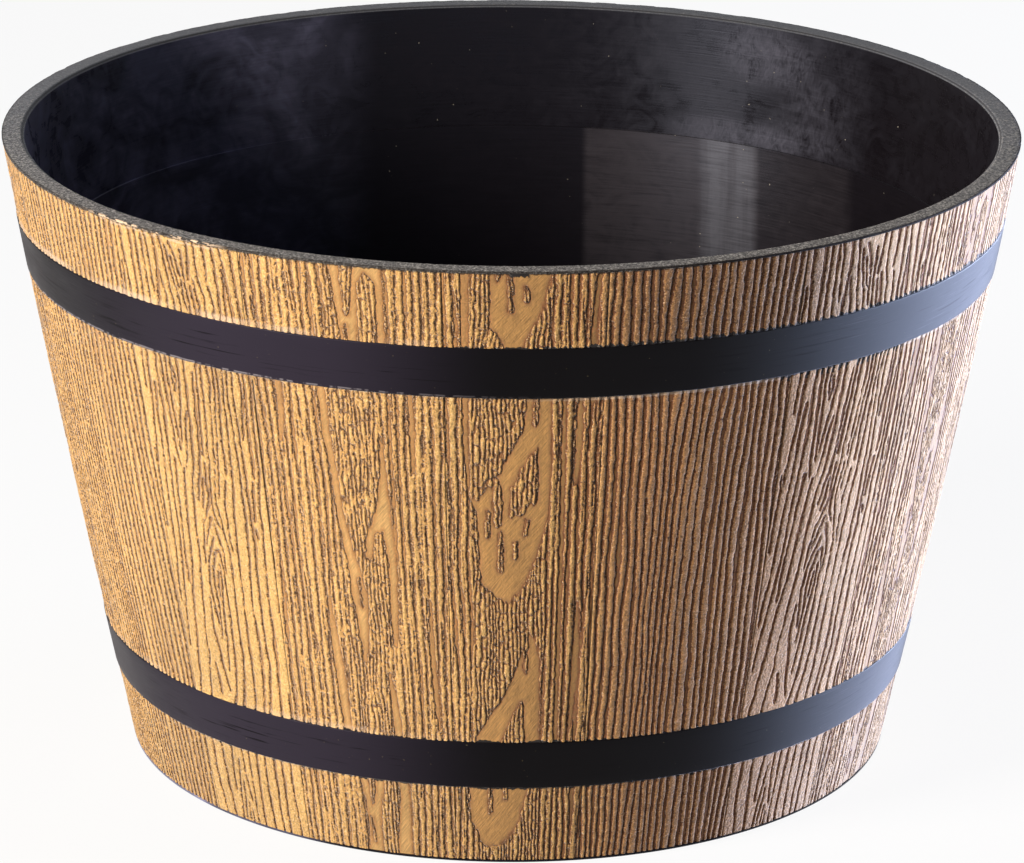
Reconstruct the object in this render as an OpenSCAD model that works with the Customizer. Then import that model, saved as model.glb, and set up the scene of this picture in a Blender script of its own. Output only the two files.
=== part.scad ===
// Half-barrel planter: a moulded black tub, wood-grain staves held in a rebate round it, and two bands.
// Millimetres, +Z up. The origin is the centre of the base, on the ground. The front faces -Y.

/* [Barrel] */
// Diameter over the staves at the rim
rim_d = 500; // [440:5:600]
// Diameter over the staves at the ground
base_d = 382; // [340:2:430]
// Height from the ground to the top of the rim
height = 312; // [260:2:380]
// How far the sides swell outwards at mid-height, past a straight taper
swell = 1.6; // [0:0.2:5]

/* [Tub] */
// Thickness of the tub's wall behind the staves
wall_t = 6.6; // [5:0.2:10]
// Thickness of the floor
floor_t = 9; // [6:0.5:16]
// Height of the floor's underside above the ground
floor_lift = 5; // [2:0.5:12]
// Radius of the curve inside, between the wall and the floor
floor_curve_r = 18; // [8:1:30]
// Width of the ring that the tub stands on
foot_w = 30; // [20:1:45]
// Height of each lip at its outer edge, where it covers the ends of the staves
lip_h = 1; // [0.6:0.1:3]
// How much deeper each lip is at the wall than at its edge
lip_slope = 1.6; // [0.5:0.1:4]
// Depth below the rim of the small ledge round the inside
ledge_depth = 64; // [40:1:100]
// Width of that ledge
ledge_w = 0.8; // [0.4:0.1:2]
// Size of the chamfer on the inner edge of the rim
rim_chamfer = 1.4; // [0.5:0.1:3]

/* [Drain holes] */
// Diameter of each drain hole
drain_d = 16; // [8:1:22]
// Number of drain holes round the middle one
drain_count = 4; // [3:1:8]
// Diameter of the circle that those holes lie on
drain_circle_d = 200; // [80:5:220]

/* [Staves] */
// Number of pairs of staves, each a wide one and a narrow one
stave_pairs = 9; // [6:1:14]
// Thickness of a stave
stave_t = 4; // [3.2:0.1:7]
// The wide stave's part of a pair, in percent
wide_share = 56.3; // [50:0.1:65]
// Turn of the first joint from the front, anticlockwise seen from above, in degrees
first_joint_turn = 10.3; // [0:0.1:20]
// Depth of the bevel along both sides of a joint
bevel_depth = 0.6; // [0.3:0.1:0.8]
// Width of that bevel
bevel_w = 0.9; // [0.4:0.1:2]

/* [Bands] */
// Width of each band
band_w = 25; // [16:1:36]
// Thickness of each band
band_t = 2.4; // [1.8:0.1:2.8]
// How far each band stands proud of the staves
band_proud = 0.4; // [0:0.1:0.8]
// Size of the chamfer on the edges of a band
band_chamfer = 0.4; // [0.1:0.1:0.6]
// Depth of the upper band's top edge below the rim
upper_band_depth = 38.3; // [20:0.1:60]
// Height of the lower band's bottom edge above the ground
lower_band_height = 41.8; // [20:0.1:70]

/* [Fit] */
// Gap between the staves and the tub
seat_gap = 0.2; // [0.1:0.05:0.5]
// Gap between two staves at their joint
joint_gap = 0.3; // [0.1:0.05:0.8]
// Gap round a band in its channel
band_gap = 0.2; // [0.1:0.05:0.5]

/* [Hidden] */
$fn = 96;
// Levels at which the curve of the sides is drawn, and the least height between two of them
side_steps = 10;
least_step = 1;
side_levels = [for (i = [0:side_steps]) height * i / side_steps];
side_line = [for (z = side_levels) [z, taper_r(z)]];

// Degrees between the points of the curve at the edge of the floor
curve_step = 10;
// How far a cutting shape reaches past the surface that it cuts
overrun = 1;

floor_z = floor_lift + floor_t;
wall_inset = stave_t + seat_gap;
inner_inset = wall_inset + wall_t;
channel_depth = band_t - band_proud + band_gap;
lower_band_z = lower_band_height;
upper_band_z = height - upper_band_depth - band_w;

stave_count = 2 * stave_pairs;
pair_angle = 360 / stave_pairs;
wide_angle = pair_angle * wide_share / 100;
narrow_angle = pair_angle - wide_angle;
joint_angle = arc_angle(joint_gap);
bevel_angle = arc_angle(bevel_w);
front_angle = -90;

stave_names = [for (i = [1:stave_count]) str("stave_", i < 10 ? "0" : "", i)];

tub_colour = [0.09, 0.09, 0.10];
band_colour = [0.12, 0.12, 0.15];
wide_colour = [0.72, 0.53, 0.31];
narrow_colour = [0.66, 0.48, 0.28];

// The angle of an arc of a given length round the rim
function arc_angle(arc_length) = arc_length / (PI * rim_d) * 360;

// Radius over the staves on the true curve of the sides, and on the straight steps between its levels
function taper_r(z) =
    base_d / 2 + (rim_d - base_d) / 2 * z / height + 4 * swell * z / height * (1 - z / height);
function side_r(z) = lookup(z, side_line);

// The lowest and highest of two heights, with the levels of the curve that lie between them
function levels(low, high) =
    concat([low], [for (z = side_levels) if (z > low + least_step && z < high - least_step) z], [high]);

// Points up a face that lies a given distance inside the outer surface
function face_up(low, high, inset) = [for (z = levels(low, high)) [side_r(z) - inset, z]];
function reversed(points) = [for (i = [len(points) - 1:-1:0]) points[i]];

// Height of the lips' sloping faces, a given distance inside the outer surface
function foot_lip_z(inset) = lip_h + lip_slope * inset / wall_inset;
function rim_lip_z(inset) = height - foot_lip_z(inset);

// Slope of the side, and the curve that joins the inner wall to the floor
curve_top_z = floor_z + floor_curve_r;
curve_inset = inner_inset + ledge_w;
side_lean = atan((side_r(curve_top_z) - side_r(floor_z)) / floor_curve_r);
curve_centre_r = side_r(curve_top_z) - curve_inset - floor_curve_r / cos(side_lean);
function floor_curve() =
    [for (a = [-90:curve_step:-side_lean])
        [curve_centre_r + floor_curve_r * cos(a), curve_top_z + floor_curve_r * sin(a)]];

// Half section of the tub: the inside from the rim down to the floor, then the foot, the rebate and the rim
module tub_section() {
    ledge_z = height - ledge_depth;
    foot_inner_r = base_d / 2 - foot_w;
    inside = concat(
        reversed(face_up(ledge_z + ledge_w, height - rim_chamfer, inner_inset)),
        reversed(face_up(curve_top_z, ledge_z, curve_inset)),
        reversed(floor_curve()),
        [[0, floor_z]]
    );
    underside = [[0, floor_lift], [foot_inner_r, floor_lift], [foot_inner_r, 0]];
    rebate = concat(
        face_up(0, lip_h, 0),
        face_up(foot_lip_z(wall_inset), rim_lip_z(wall_inset), wall_inset),
        face_up(height - lip_h, height, 0)
    );
    rim = [[side_r(height) - inner_inset + rim_chamfer, height]];
    polygon(concat(inside, underside, rebate, rim));
}

// The tub: wall, floor, foot ring and lips in one moulding, with its drain holes
module tub() {
    color(tub_colour)
    difference() {
        rotate_extrude() tub_section();
        drain_hole();
        for (i = [0:drain_count - 1])
            rotate([0, 0, 360 / drain_count * (i + 0.5)])
            translate([drain_circle_d / 2, 0, 0])
            drain_hole();
    }
}

module drain_hole() {
    translate([0, 0, floor_lift - overrun])
    cylinder(d = drain_d, h = floor_t + 2 * overrun);
}

// Half section of a stave: its outer face with a channel for each band, then its back
module stave_section() {
    lower_channel = [lower_band_z - band_gap, lower_band_z + band_w + band_gap];
    upper_channel = [upper_band_z - band_gap, upper_band_z + band_w + band_gap];
    outer_face = concat(
        face_up(foot_lip_z(0) + seat_gap, lower_channel[0], 0),
        face_up(lower_channel[0], lower_channel[1], channel_depth),
        face_up(lower_channel[1], upper_channel[0], 0),
        face_up(upper_channel[0], upper_channel[1], channel_depth),
        face_up(upper_channel[1], rim_lip_z(0) - seat_gap, 0)
    );
    back = face_up(foot_lip_z(stave_t) + seat_gap, rim_lip_z(stave_t) - seat_gap, stave_t);
    polygon(concat(outer_face, reversed(back)));
}

// Half section of what the bevel takes off a stave
module bevel_section() {
    polygon(concat(face_up(0, height, bevel_depth), reversed(face_up(0, height, -overrun))));
}

// A section turned through an angle about Z, from a given angle on
module sector(start, angle) {
    rotate([0, 0, start])
    rotate_extrude(angle = angle)
    children();
}

// One stave, from its joint at a given angle to the next, with a bevel along both sides of its face
module stave(start, angle, colour) {
    body_start = start + joint_angle / 2;
    body_angle = angle - joint_angle;
    color(colour)
    difference() {
        sector(body_start, body_angle) stave_section();
        sector(body_start - bevel_angle, 2 * bevel_angle) bevel_section();
        sector(body_start + body_angle - bevel_angle, 2 * bevel_angle) bevel_section();
    }
}

// Stave number i, counted anticlockwise from the first joint: the odd ones are wide
module numbered_stave(i) {
    pair_start = front_angle + first_joint_turn + pair_angle * floor((i - 1) / 2);
    if (i % 2 == 1)
        stave(pair_start, wide_angle, wide_colour);
    else
        stave(pair_start + wide_angle, narrow_angle, narrow_colour);
}

// An endless band in the staves' channels, with its bottom edge at a given height
module band(low) {
    high = low + band_w;
    outer_face = concat(
        [[side_r(low) + band_proud - band_chamfer, low]],
        face_up(low + band_chamfer, high - band_chamfer, -band_proud),
        [[side_r(high) + band_proud - band_chamfer, high]]
    );
    inner_face = face_up(low, high, band_t - band_proud);
    color(band_colour)
    rotate_extrude()
    polygon(concat(outer_face, reversed(inner_face)));
}

tub();
band(upper_band_z);  // upper_band
band(lower_band_z);  // lower_band
for (i = [1:stave_count]) numbered_stave(i);
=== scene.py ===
"""Looks of a half-barrel planter: a moulded black tub, wood-grain staves round it, and two black bands.

Metres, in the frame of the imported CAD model: +Z is up, the front faces -Y, and the origin is the centre
of the base. The grain of the staves is worked out in millimetres on the unrolled side of the barrel:
a place on a stave is its distance across from the stave's left joint and its depth below the rim.
"""

import logging
import math
from collections.abc import Iterable, Sequence
from dataclasses import dataclass, field
from enum import Enum
from functools import cache

import bmesh
import bpy
import numpy as np
from mathutils import Euler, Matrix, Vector


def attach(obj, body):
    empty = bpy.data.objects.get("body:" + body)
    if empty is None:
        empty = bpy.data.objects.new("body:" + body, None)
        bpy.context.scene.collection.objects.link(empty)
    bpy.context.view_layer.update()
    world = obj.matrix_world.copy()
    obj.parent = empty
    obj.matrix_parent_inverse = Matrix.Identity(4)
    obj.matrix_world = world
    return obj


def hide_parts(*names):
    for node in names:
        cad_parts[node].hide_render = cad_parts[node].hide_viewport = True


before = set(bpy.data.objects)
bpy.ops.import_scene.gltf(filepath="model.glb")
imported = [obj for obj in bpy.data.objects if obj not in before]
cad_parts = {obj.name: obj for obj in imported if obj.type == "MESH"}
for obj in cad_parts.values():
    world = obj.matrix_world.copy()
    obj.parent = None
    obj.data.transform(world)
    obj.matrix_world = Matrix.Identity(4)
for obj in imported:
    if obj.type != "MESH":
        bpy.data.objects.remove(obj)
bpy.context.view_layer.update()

MM = 0.001
DEGREE_MM = 4.0          # width of one degree of a stave on the unrolled side
GRAIN_LIMIT = 1.4        # distance from a wall, in mm, at which ridges, furrows and cuts level out
LEAST_STEEPNESS = 0.12   # steps of a phase in a mm, below which it counts as this steep
WIDEST_CUT = 0.42        # part of the way from one cut to the next
SAME_PLACE = 1e-7        # points nearer than this are merged, in metres
log = logging.getLogger("planter")

Point = tuple[float, float]
Stroke = Sequence[tuple[float, float, float]]
Colour = tuple[float, float, float]
Span = tuple[float, float, float, float]      # rises over its first two values, falls over its last two


# --------------------------------------------------------------------------------------------- helpers

def smooth_step(low: float, high: float, x: np.ndarray) -> np.ndarray:
    """A soft step from 0 at low to 1 at high.

    Args:
        low: where the step starts.
        high: where it ends.
        x: the values to look up.

    Returns:
        The height of the step at each value.
    """
    t = np.clip((x - low) / (high - low), 0.0, 1.0)
    return t * t * (3.0 - 2.0 * t)


def paint(red: int, green: int, blue: int) -> Colour:
    """A colour as seen on a screen, 0 to 255 each, made linear.

    Args:
        red: the red part.
        green: the green part.
        blue: the blue part.

    Returns:
        The linear colour.
    """
    parts = (c / 255.0 for c in (red, green, blue))
    return tuple(c / 12.92 if c <= 0.04045 else ((c + 0.055) / 1.055) ** 2.4 for c in parts)


class ValueNoise:
    """Smooth noise from -1 to 1 on a lattice of seeded values."""

    SIZE = 256

    def __init__(self, seed: int) -> None:
        """Draws the lattice for a seed."""
        self.table = np.random.default_rng(seed).uniform(-1.0, 1.0, (self.SIZE, self.SIZE))

    def __call__(self, x: np.ndarray, y: np.ndarray) -> np.ndarray:
        """The noise at places x, y, in lattice steps.

        Args:
            x: places along the first axis.
            y: places along the second axis.

        Returns:
            The noise at each place.
        """
        xi, yi = np.floor(x).astype(int), np.floor(y).astype(int)
        tx, ty = (t * t * t * (t * (t * 6 - 15) + 10) for t in (x - xi, y - yi))
        x0, x1, y0, y1 = xi % self.SIZE, (xi + 1) % self.SIZE, yi % self.SIZE, (yi + 1) % self.SIZE
        near = self.table[x0, y0] * (1 - tx) + self.table[x1, y0] * tx
        far = self.table[x0, y1] * (1 - tx) + self.table[x1, y1] * tx
        return near * (1 - ty) + far * ty


# ------------------------------------------------------------------------------------- grain of a board

@dataclass(frozen=True)
class Face:
    """Places on the front of a board, in mm: x across from its left joint, and v down from the rim.

    Grain is the distance from the nearest wall in mm: above 0 on ridges, below 0 in furrows, and below -2
    in smooth places. Ridges and cuts need their places on a regular grid.
    """

    x: np.ndarray
    v: np.ndarray

    def steepness(self, phase: np.ndarray) -> np.ndarray:
        """How fast a phase changes per mm, and never nearly 0."""
        down, across = np.gradient(phase, self.v[:, 0], self.x[0, :])
        return np.maximum(np.hypot(across, down), LEAST_STEEPNESS)

    def ridges(self, phase: np.ndarray, share: np.ndarray) -> np.ndarray:
        """Ridges, one for each step of a phase, and wider than the furrows where their share is above 0."""
        wall = (np.sin(2 * np.pi * phase) + share) / (2 * np.pi * self.steepness(phase))
        return np.clip(wall, -GRAIN_LIMIT, GRAIN_LIMIT)

    def cuts(self, phase: np.ndarray, width: np.ndarray) -> np.ndarray:
        """Thin cuts at the whole values of a phase.

        Args:
            phase: one whole step per cut.
            width: width of the cuts in mm; nothing is cut where it is below 0.

        Returns:
            The grain, below 0 inside a cut.
        """
        steep = self.steepness(phase)
        away = np.abs((phase + 0.5) % 1.0 - 0.5) / steep
        return np.minimum(away - np.minimum(width, WIDEST_CUT / steep) / 2, GRAIN_LIMIT)

    def long_ridges(self, pitch: float, sway: float, share: float, seed: int) -> np.ndarray:
        """Long ridges of uneven width, with narrow furrows.

        Args:
            pitch: distance between the ridges, mm.
            sway: how far they sway, in pitches.
            share: above 0 the ridges are wider than the furrows.
            seed: seed of their noise.

        Returns:
            The grain.
        """
        x, v = self.x, self.v
        spread, wave, grit, swell = (ValueNoise(seed + i) for i in range(4))
        phase = x / pitch + 0.55 * spread(x / 15, v / 120) + sway * wave(x / 6, v / 30)
        phase = phase + 0.08 * grit(x / 2, v / 4)
        return self.ridges(phase, share + 0.6 * swell(x / 5, v / 45))

    def short_cuts(self, pitch: float, length: float, width: float, spread: float, seed: int,
                   gap: float = 0.0) -> np.ndarray:
        """Upright rods between broken cuts.

        Args:
            pitch: distance between the cuts, mm.
            length: how long they run before they break, mm.
            width: their middle width, mm.
            spread: how much the width varies; they break where it falls below 0.
            seed: seed of their noise.
            gap: width of the gaps that break each rod into lengths, mm; 0 leaves the rods whole.

        Returns:
            The grain.
        """
        x, v = self.x, self.v
        sway, kink, swell, gaps = (ValueNoise(seed + i) for i in range(4))
        phase = x / pitch + 0.55 * sway(x / (3.2 * pitch), v / (2.4 * length))
        phase = phase + 0.2 * kink(x / pitch, v / (0.5 * length))
        upright = self.cuts(phase, width + spread * swell(x / (0.9 * pitch), v / (0.8 * length)))
        if not gap:
            return upright
        rod = np.floor(phase)
        run = v / length + 5.3 * gaps(rod * 3.7, np.zeros_like(v)) + 0.9 * gaps(rod + 0.5, v / (1.6 * length))
        ends = (0.5 - np.abs(run % 1.0 - 0.5)) * length - gap / 2 - 0.25 * kink(rod * 1.3, v / 3)
        return np.minimum(upright, ends)

    def outline(self, points: Sequence[Point]) -> np.ndarray:
        """Distance from a closed outline.

        Args:
            points: its corners as (degrees from the left joint, depth in mm).

        Returns:
            The distance in mm, positive inside it.
        """
        corners = np.array(points) * (DEGREE_MM, 1.0)
        nearest, inside = np.full(self.x.shape, np.inf), np.zeros(self.x.shape, bool)
        for (x0, v0), (x1, v1) in zip(corners, np.roll(corners, -1, axis=0)):
            nearest = np.minimum(nearest, -self.stroke([(x0, v0, 0.0), (x1, v1, 0.0)], 1.0))
            if v0 != v1:
                crossed = (v0 > self.v) != (v1 > self.v)
                inside ^= crossed & (self.x < x0 + (self.v - v0) * (x1 - x0) / (v1 - v0))
        return np.where(inside, nearest, -nearest)

    def stroke(self, points: Stroke, degree: float = DEGREE_MM) -> np.ndarray:
        """Distance from the edge of a stroke that swells and tapers.

        Args:
            points: (degrees from the left joint, depth in mm, half width in degrees) along its middle.
            degree: width of a degree in mm.

        Returns:
            The distance in mm, positive inside it.
        """
        line = np.array(points) * (degree, 1.0, degree)
        best = np.full(self.x.shape, -np.inf)
        for (x0, v0, w0), (x1, v1, w1) in zip(line[:-1], line[1:]):
            dx, dv, x, v = x1 - x0, v1 - v0, self.x - x0, self.v - v0
            t = np.clip((x * dx + v * dv) / max(dx * dx + dv * dv, 1e-9), 0, 1)
            best = np.maximum(best, w0 + (w1 - w0) * t - np.hypot(x - t * dx, v - t * dv))
        return best


@dataclass(frozen=True)
class SmoothPlaces:
    """Where a board is smoothed by wear or cast smooth, at the level of its furrows, and what still stands there."""

    outlines: Sequence[Sequence[Point]]
    strokes: Sequence[Stroke]
    islands: Sequence[Stroke]
    seed: int

    def lay(self, rough: np.ndarray, face: Face) -> np.ndarray:
        """Sinks the smooth places into a rough board.

        Args:
            rough: the rough board's grain.
            face: the places on it.

        Returns:
            The grain with the smooth places in it.
        """
        noise, x, v = ValueNoise(self.seed), face.x, face.v
        moved = Face(x + 0.4 * noise(x / 1.6, v / 2.6), v + 1.6 * noise(x / 2.1 + 40, v / 6))
        smooth = np.full(x.shape, -np.inf)
        for outline in self.outlines:
            smooth = np.maximum(smooth, moved.outline(outline))
        for stroke in self.strokes:
            smooth = np.maximum(smooth, moved.stroke(stroke))
        for island in self.islands:
            smooth = np.minimum(smooth, -moved.stroke(island))
        return np.minimum(rough, -smooth)


class Grain(Enum):
    """The four patterns of the staves, which come back in turn round the barrel."""

    STRAIGHT = "straight"
    RINGED = "ringed"
    FLAMED = "flamed"
    KNOTTED = "knotted"

    def relief(self, face: Face) -> np.ndarray:
        """The pattern's grain on a board's front."""
        return {Grain.STRAIGHT: straight_grain, Grain.RINGED: ringed_grain,
                Grain.FLAMED: flamed_grain, Grain.KNOTTED: knotted_grain}[self](face)


@cache
def laid_grain(grain: Grain, width: float, columns: int,
               depths: tuple[float, ...]) -> tuple[np.ndarray, np.ndarray]:
    """Lays a pattern out on the grid of a board's front, once for all the boards that carry it.

    Args:
        grain: the pattern.
        width: width of the board in mm.
        columns: number of columns of points across it.
        depths: depth of each row below the rim, mm.

    Returns:
        The distance across and the pattern's grain at each point, both in mm.
    """
    x, v = np.meshgrid(np.linspace(0.0, width, columns), depths)
    return x, grain.relief(Face(x, v))


def straight_grain(face: Face) -> np.ndarray:
    """Even, gently wavy ridges.

    Args:
        face: the places on the board.

    Returns:
        The grain.
    """
    x, v = face.x, face.v
    spread, wave, grit, share = (ValueNoise(seed) for seed in (11, 12, 13, 14))
    lean = 0.55 * np.sin((v - 20) / 50) * (x / 90 - 0.2)
    phase = x / 3.95 + lean + 0.75 * spread(x / 22 + 3.1, v / 190) + 0.2 * wave(x / 7, v / 30)
    phase = phase + 0.06 * grit(x / 3, v / 5)
    return face.ridges(phase, 0.3 + 0.4 * share(x / 7, v / 60))


RINGED_GROOVES: Sequence[Sequence[Point]] = (
    ((0.4, 20), (0.3, 40)),
    ((0.8, -2), (0.9, 14), (1.2, 40)),
    ((2.3, -2), (2.4, 12), (2.3, 40)),
    ((3.2, -2), (3.3, 12), (3.3, 40)),
    ((4.2, -2), (4.1, 15), (4.4, 40)),
    ((4.8, -2), (5.0, 18), (5.2, 31)),
    ((6.0, -2), (6.1, 15), (5.8, 29), (5.6, 40)),
    ((6.3, 20), (6.9, 32), (7.0, 40)),
    ((7.0, -2), (7.4, 16), (7.7, 27), (8.1, 40)),
    ((7.7, 6), (8.0, 17), (8.8, 30), (9.0, 40)),
    ((8.3, 4), (9.1, 12), (9.3, 20)),
    ((8.3, 11), (8.6, 18), (9.1, 26)),
    ((9.4, 22), (9.5, 30), (9.7, 36)),
    ((9.9, 7), (9.8, 16), (10.1, 29), (10.3, 40)),
    ((10.9, -2), (10.7, 10), (10.5, 21)),
    ((10.6, 24), (11.1, 40)),
    ((11.1, 21), (11.3, 27), (11.6, 33), (11.5, 40)),
    ((11.7, -2), (11.8, 18), (12.3, 28), (12.4, 40)),
    ((13.0, -2), (13.1, 10), (12.9, 20)),
    ((13.1, 22), (13.5, 32), (13.5, 40)),
    ((14.2, -2), (14.3, 20), (14.4, 40)),
    ((15.0, -2), (15.4, 12), (15.8, 24), (16.2, 40)),
    ((15.2, 12), (15.2, 24), (15.1, 40)),
    ((16.5, -2), (16.7, 18), (17.1, 40)),
    ((1.2, 62), (1.1, 84)),
    ((0.7, 116), (0.6, 135), (0.4, 156)),
    ((2.2, 62), (1.8, 87), (1.3, 106), (0.9, 122)),
    ((2.7, 80), (2.3, 103), (2.1, 118), (1.6, 145), (1.2, 170), (0.6, 190), (0.6, 196)),
    ((3.6, 62), (3.4, 76), (3.5, 97), (3.0, 118), (2.5, 158), (2.1, 175), (1.3, 197), (0.8, 212),
     (0.6, 220)),
    ((4.1, 118), (3.6, 140), (3.1, 164), (2.8, 184)),
    ((4.4, 62), (4.4, 80), (4.6, 96), (4.6, 112), (4.9, 120)),
    ((5.2, 62), (5.1, 73), (5.3, 92), (5.4, 112)),
    ((5.9, 62), (5.8, 73), (6.0, 81)),
    ((6.2, 69), (6.4, 74), (6.2, 79)),
    ((6.9, 62), (6.9, 74), (6.6, 84), (6.1, 95), (5.8, 108)),
    ((5.5, 121), (4.9, 135), (4.4, 155), (3.9, 175), (3.2, 189), (2.7, 206), (2.1, 220), (1.7, 232),
     (1.1, 246)),
    ((7.2, 91), (6.7, 102), (6.2, 117), (5.9, 121)),
    ((8.0, 62), (7.8, 82), (7.7, 98), (7.2, 116), (6.4, 131), (5.9, 149), (5.6, 170), (4.9, 191),
     (4.3, 209), (4.2, 217), (4.4, 221), (3.8, 231), (3.2, 246)),
    ((9.1, 68), (8.8, 88), (8.5, 107), (8.0, 121), (7.1, 136)),
    ((9.8, 62), (9.5, 82), (9.1, 101), (8.9, 111)),
    ((9.0, 116), (8.8, 130)),
    ((8.4, 124), (7.9, 134), (7.6, 140)),
    ((8.9, 131), (8.6, 137), (7.8, 145), (7.3, 148), (6.9, 158), (6.6, 170)),
    ((10.5, 62), (10.2, 85), (9.9, 103), (9.5, 126), (9.1, 137), (9.3, 142), (9.9, 148)),
    ((11.4, 62), (11.5, 74), (11.0, 92), (10.6, 114)),
    ((10.4, 117), (10.2, 127), (9.9, 135), (10.3, 145), (10.9, 158), (10.9, 172), (10.6, 190),
     (10.5, 215), (10.1, 230), (9.2, 246)),
    ((12.1, 62), (12.1, 76), (11.7, 90), (11.5, 101), (11.2, 113), (10.6, 132)),
    ((11.9, 122), (11.3, 136), (11.3, 148), (11.5, 160)),
    ((12.7, 62), (12.6, 82), (12.2, 102), (12.2, 118)),
    ((13.5, 62), (13.3, 85), (13.1, 117), (12.6, 138), (12.2, 165), (12.0, 190), (11.8, 215),
     (11.8, 227), (11.3, 246)),
    ((14.2, 62), (13.9, 76), (14.1, 96), (14.2, 120), (14.1, 150), (13.6, 175), (13.4, 186),
     (13.6, 212), (13.5, 227), (12.8, 246)),
    ((14.9, 62), (14.7, 76), (14.9, 95), (15.0, 130), (15.1, 154), (14.7, 170), (14.6, 195),
     (14.8, 221), (14.2, 235), (13.8, 246)),
    ((15.7, 62), (15.9, 74), (15.6, 87), (15.4, 98)),
    ((16.4, 62), (16.2, 92), (16.2, 117)),
    ((15.9, 120), (15.6, 140)),
    ((15.6, 145), (15.8, 149)),
    ((17.2, 62), (17.0, 90), (17.0, 116), (16.5, 134), (16.4, 152), (16.1, 180), (16.0, 215), (15.6, 246)),
    ((8.7, 144), (7.9, 152), (7.2, 160)),
    ((9.1, 148), (9.6, 156), (9.9, 163), (9.8, 173)),
    ((8.6, 155), (7.9, 161), (7.1, 171), (6.7, 181), (6.9, 190), (7.2, 202)),
    ((9.1, 161), (8.4, 163), (7.8, 172), (7.5, 181), (7.8, 190), (7.5, 199), (7.3, 210)),
    ((9.1, 161), (9.5, 171), (9.5, 186), (9.3, 205), (8.9, 224), (8.5, 235), (7.7, 246)),
    ((8.8, 169), (8.9, 180), (8.4, 195), (8.1, 212), (7.7, 227)),
    ((8.5, 173), (8.2, 180), (8.2, 186)),
    ((6.3, 189), (6.0, 204), (6.5, 218), (6.8, 230), (7.2, 239)),
    ((5.1, 225), (5.4, 232), (5.5, 241)),
    ((17.4, 178), (17.4, 187)),
    ((17.4, 232), (17.2, 246)),
    ((1.6, 268), (1.4, 288), (1.9, 305), (2.1, 314)),
    ((3.4, 268), (3.4, 284), (3.8, 314)),
    ((5.4, 268), (5.0, 285), (5.0, 295)),
    ((6.5, 277), (6.0, 289), (5.4, 312)),
    ((6.7, 289), (6.2, 310)),
    ((7.4, 268), (7.4, 284), (7.8, 299)),
    ((7.1, 300), (7.0, 310)),
    ((7.5, 304), (7.6, 314)),
    ((8.6, 268), (8.5, 290), (8.4, 302), (8.6, 314)),
    ((10.1, 268), (9.8, 296), (9.8, 314)),
    ((11.5, 268), (11.4, 290), (11.6, 314)),
    ((13.2, 268), (13.0, 300), (13.3, 314)),
    ((14.4, 268), (14.5, 282), (14.3, 300), (14.4, 314)),
    ((15.9, 268), (15.9, 292), (16.3, 314)),
)


def ringed_grain(face: Face) -> np.ndarray:
    """Long grooves that part round a figure of narrow flames.

    Args:
        face: the places on the board.

    Returns:
        The grain.
    """
    x, v = face.x, face.v
    sway, width, grit = (ValueNoise(seed) for seed in (21, 24, 23))
    moved = Face(x + 0.35 * sway(x / 3, v / 9) + 0.22 * grit(x / 1.5, v / 3), v)
    nearest = np.full(x.shape, np.inf)
    for groove in RINGED_GROOVES:
        nearest = np.minimum(nearest, -moved.stroke([(*point, 0.0) for point in groove]))
    return np.minimum(nearest - 0.52 - 0.3 * width(x / 5, v / 30), GRAIN_LIMIT)


FLAMED_PLACES = SmoothPlaces(
    outlines=[
        [(10.3, -4), (10.7, 15), (11.2, 30), (11.4, 44), (13.3, 44), (13.4, 30), (13.6, 10), (14.4, 5),
         (15.4, 9), (15.5, 44), (16.4, 44), (16.3, -4)],
        [(9.1, 262), (9.2, 272), (9.7, 285), (9.8, 305), (9.4, 315), (12.0, 315), (11.9, 296),
         (12.2, 284), (12.7, 276), (12.6, 262)],
        [(14.6, 262), (14.8, 280), (14.2, 300), (14.0, 315), (16.2, 315), (16.4, 280), (16.1, 262)],
    ],
    strokes=[
        [(8.5, 60, .5), (8.8, 88, .55), (9.3, 105, .45), (9.6, 125, .45), (10.0, 137, .55),
         (10.9, 156, .75), (11.4, 172, 1.05), (11.5, 186, .75), (11.5, 205, .3)],
        [(15.2, 86, .2), (15.3, 105, .45), (15.1, 122, .9), (14.5, 131, 1.0), (13.3, 139, .55),
         (12.9, 150, .5)],
        [(15.2, 125, .8), (15.8, 150, .6), (15.7, 175, .55), (15.6, 195, .3)],
        [(3.3, 60, .4), (3.3, 84, .45), (2.9, 95, .2)],
        [(18.7, 60, .35), (18.9, 80, .4), (18.8, 104, .25)],
        [(7.2, 175, .2), (7.5, 195, .6), (7.9, 220, .7), (8.2, 243, .6), (8.3, 250, .6)],
        [(14.6, 210, .2), (14.9, 225, .5), (15.2, 238, .6), (15.3, 250, .6)],
        [(20.2, 170, .2), (20.3, 200, .4), (20.6, 225, .35), (20.8, 240, .2)],
    ],
    islands=[
        [(12.4, -4, .8), (12.3, 10, .55), (12.2, 24, .25)],
        [(11.9, 31, .12), (11.9, 40, .16)],
        [(14.6, 7, .3), (14.5, 20, .7), (14.3, 42, .8)],
        [(14.2, 137, .2), (14.3, 150, .6), (14.4, 175, .6), (14.2, 205, .6)],
        [(11.4, 162, .12), (11.5, 175, .14)],
        [(10.9, 262, .7), (10.9, 278, .3), (10.8, 284, .15)],
        [(10.4, 292, .15), (10.6, 305, .2)],
    ],
    seed=36,
)


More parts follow.
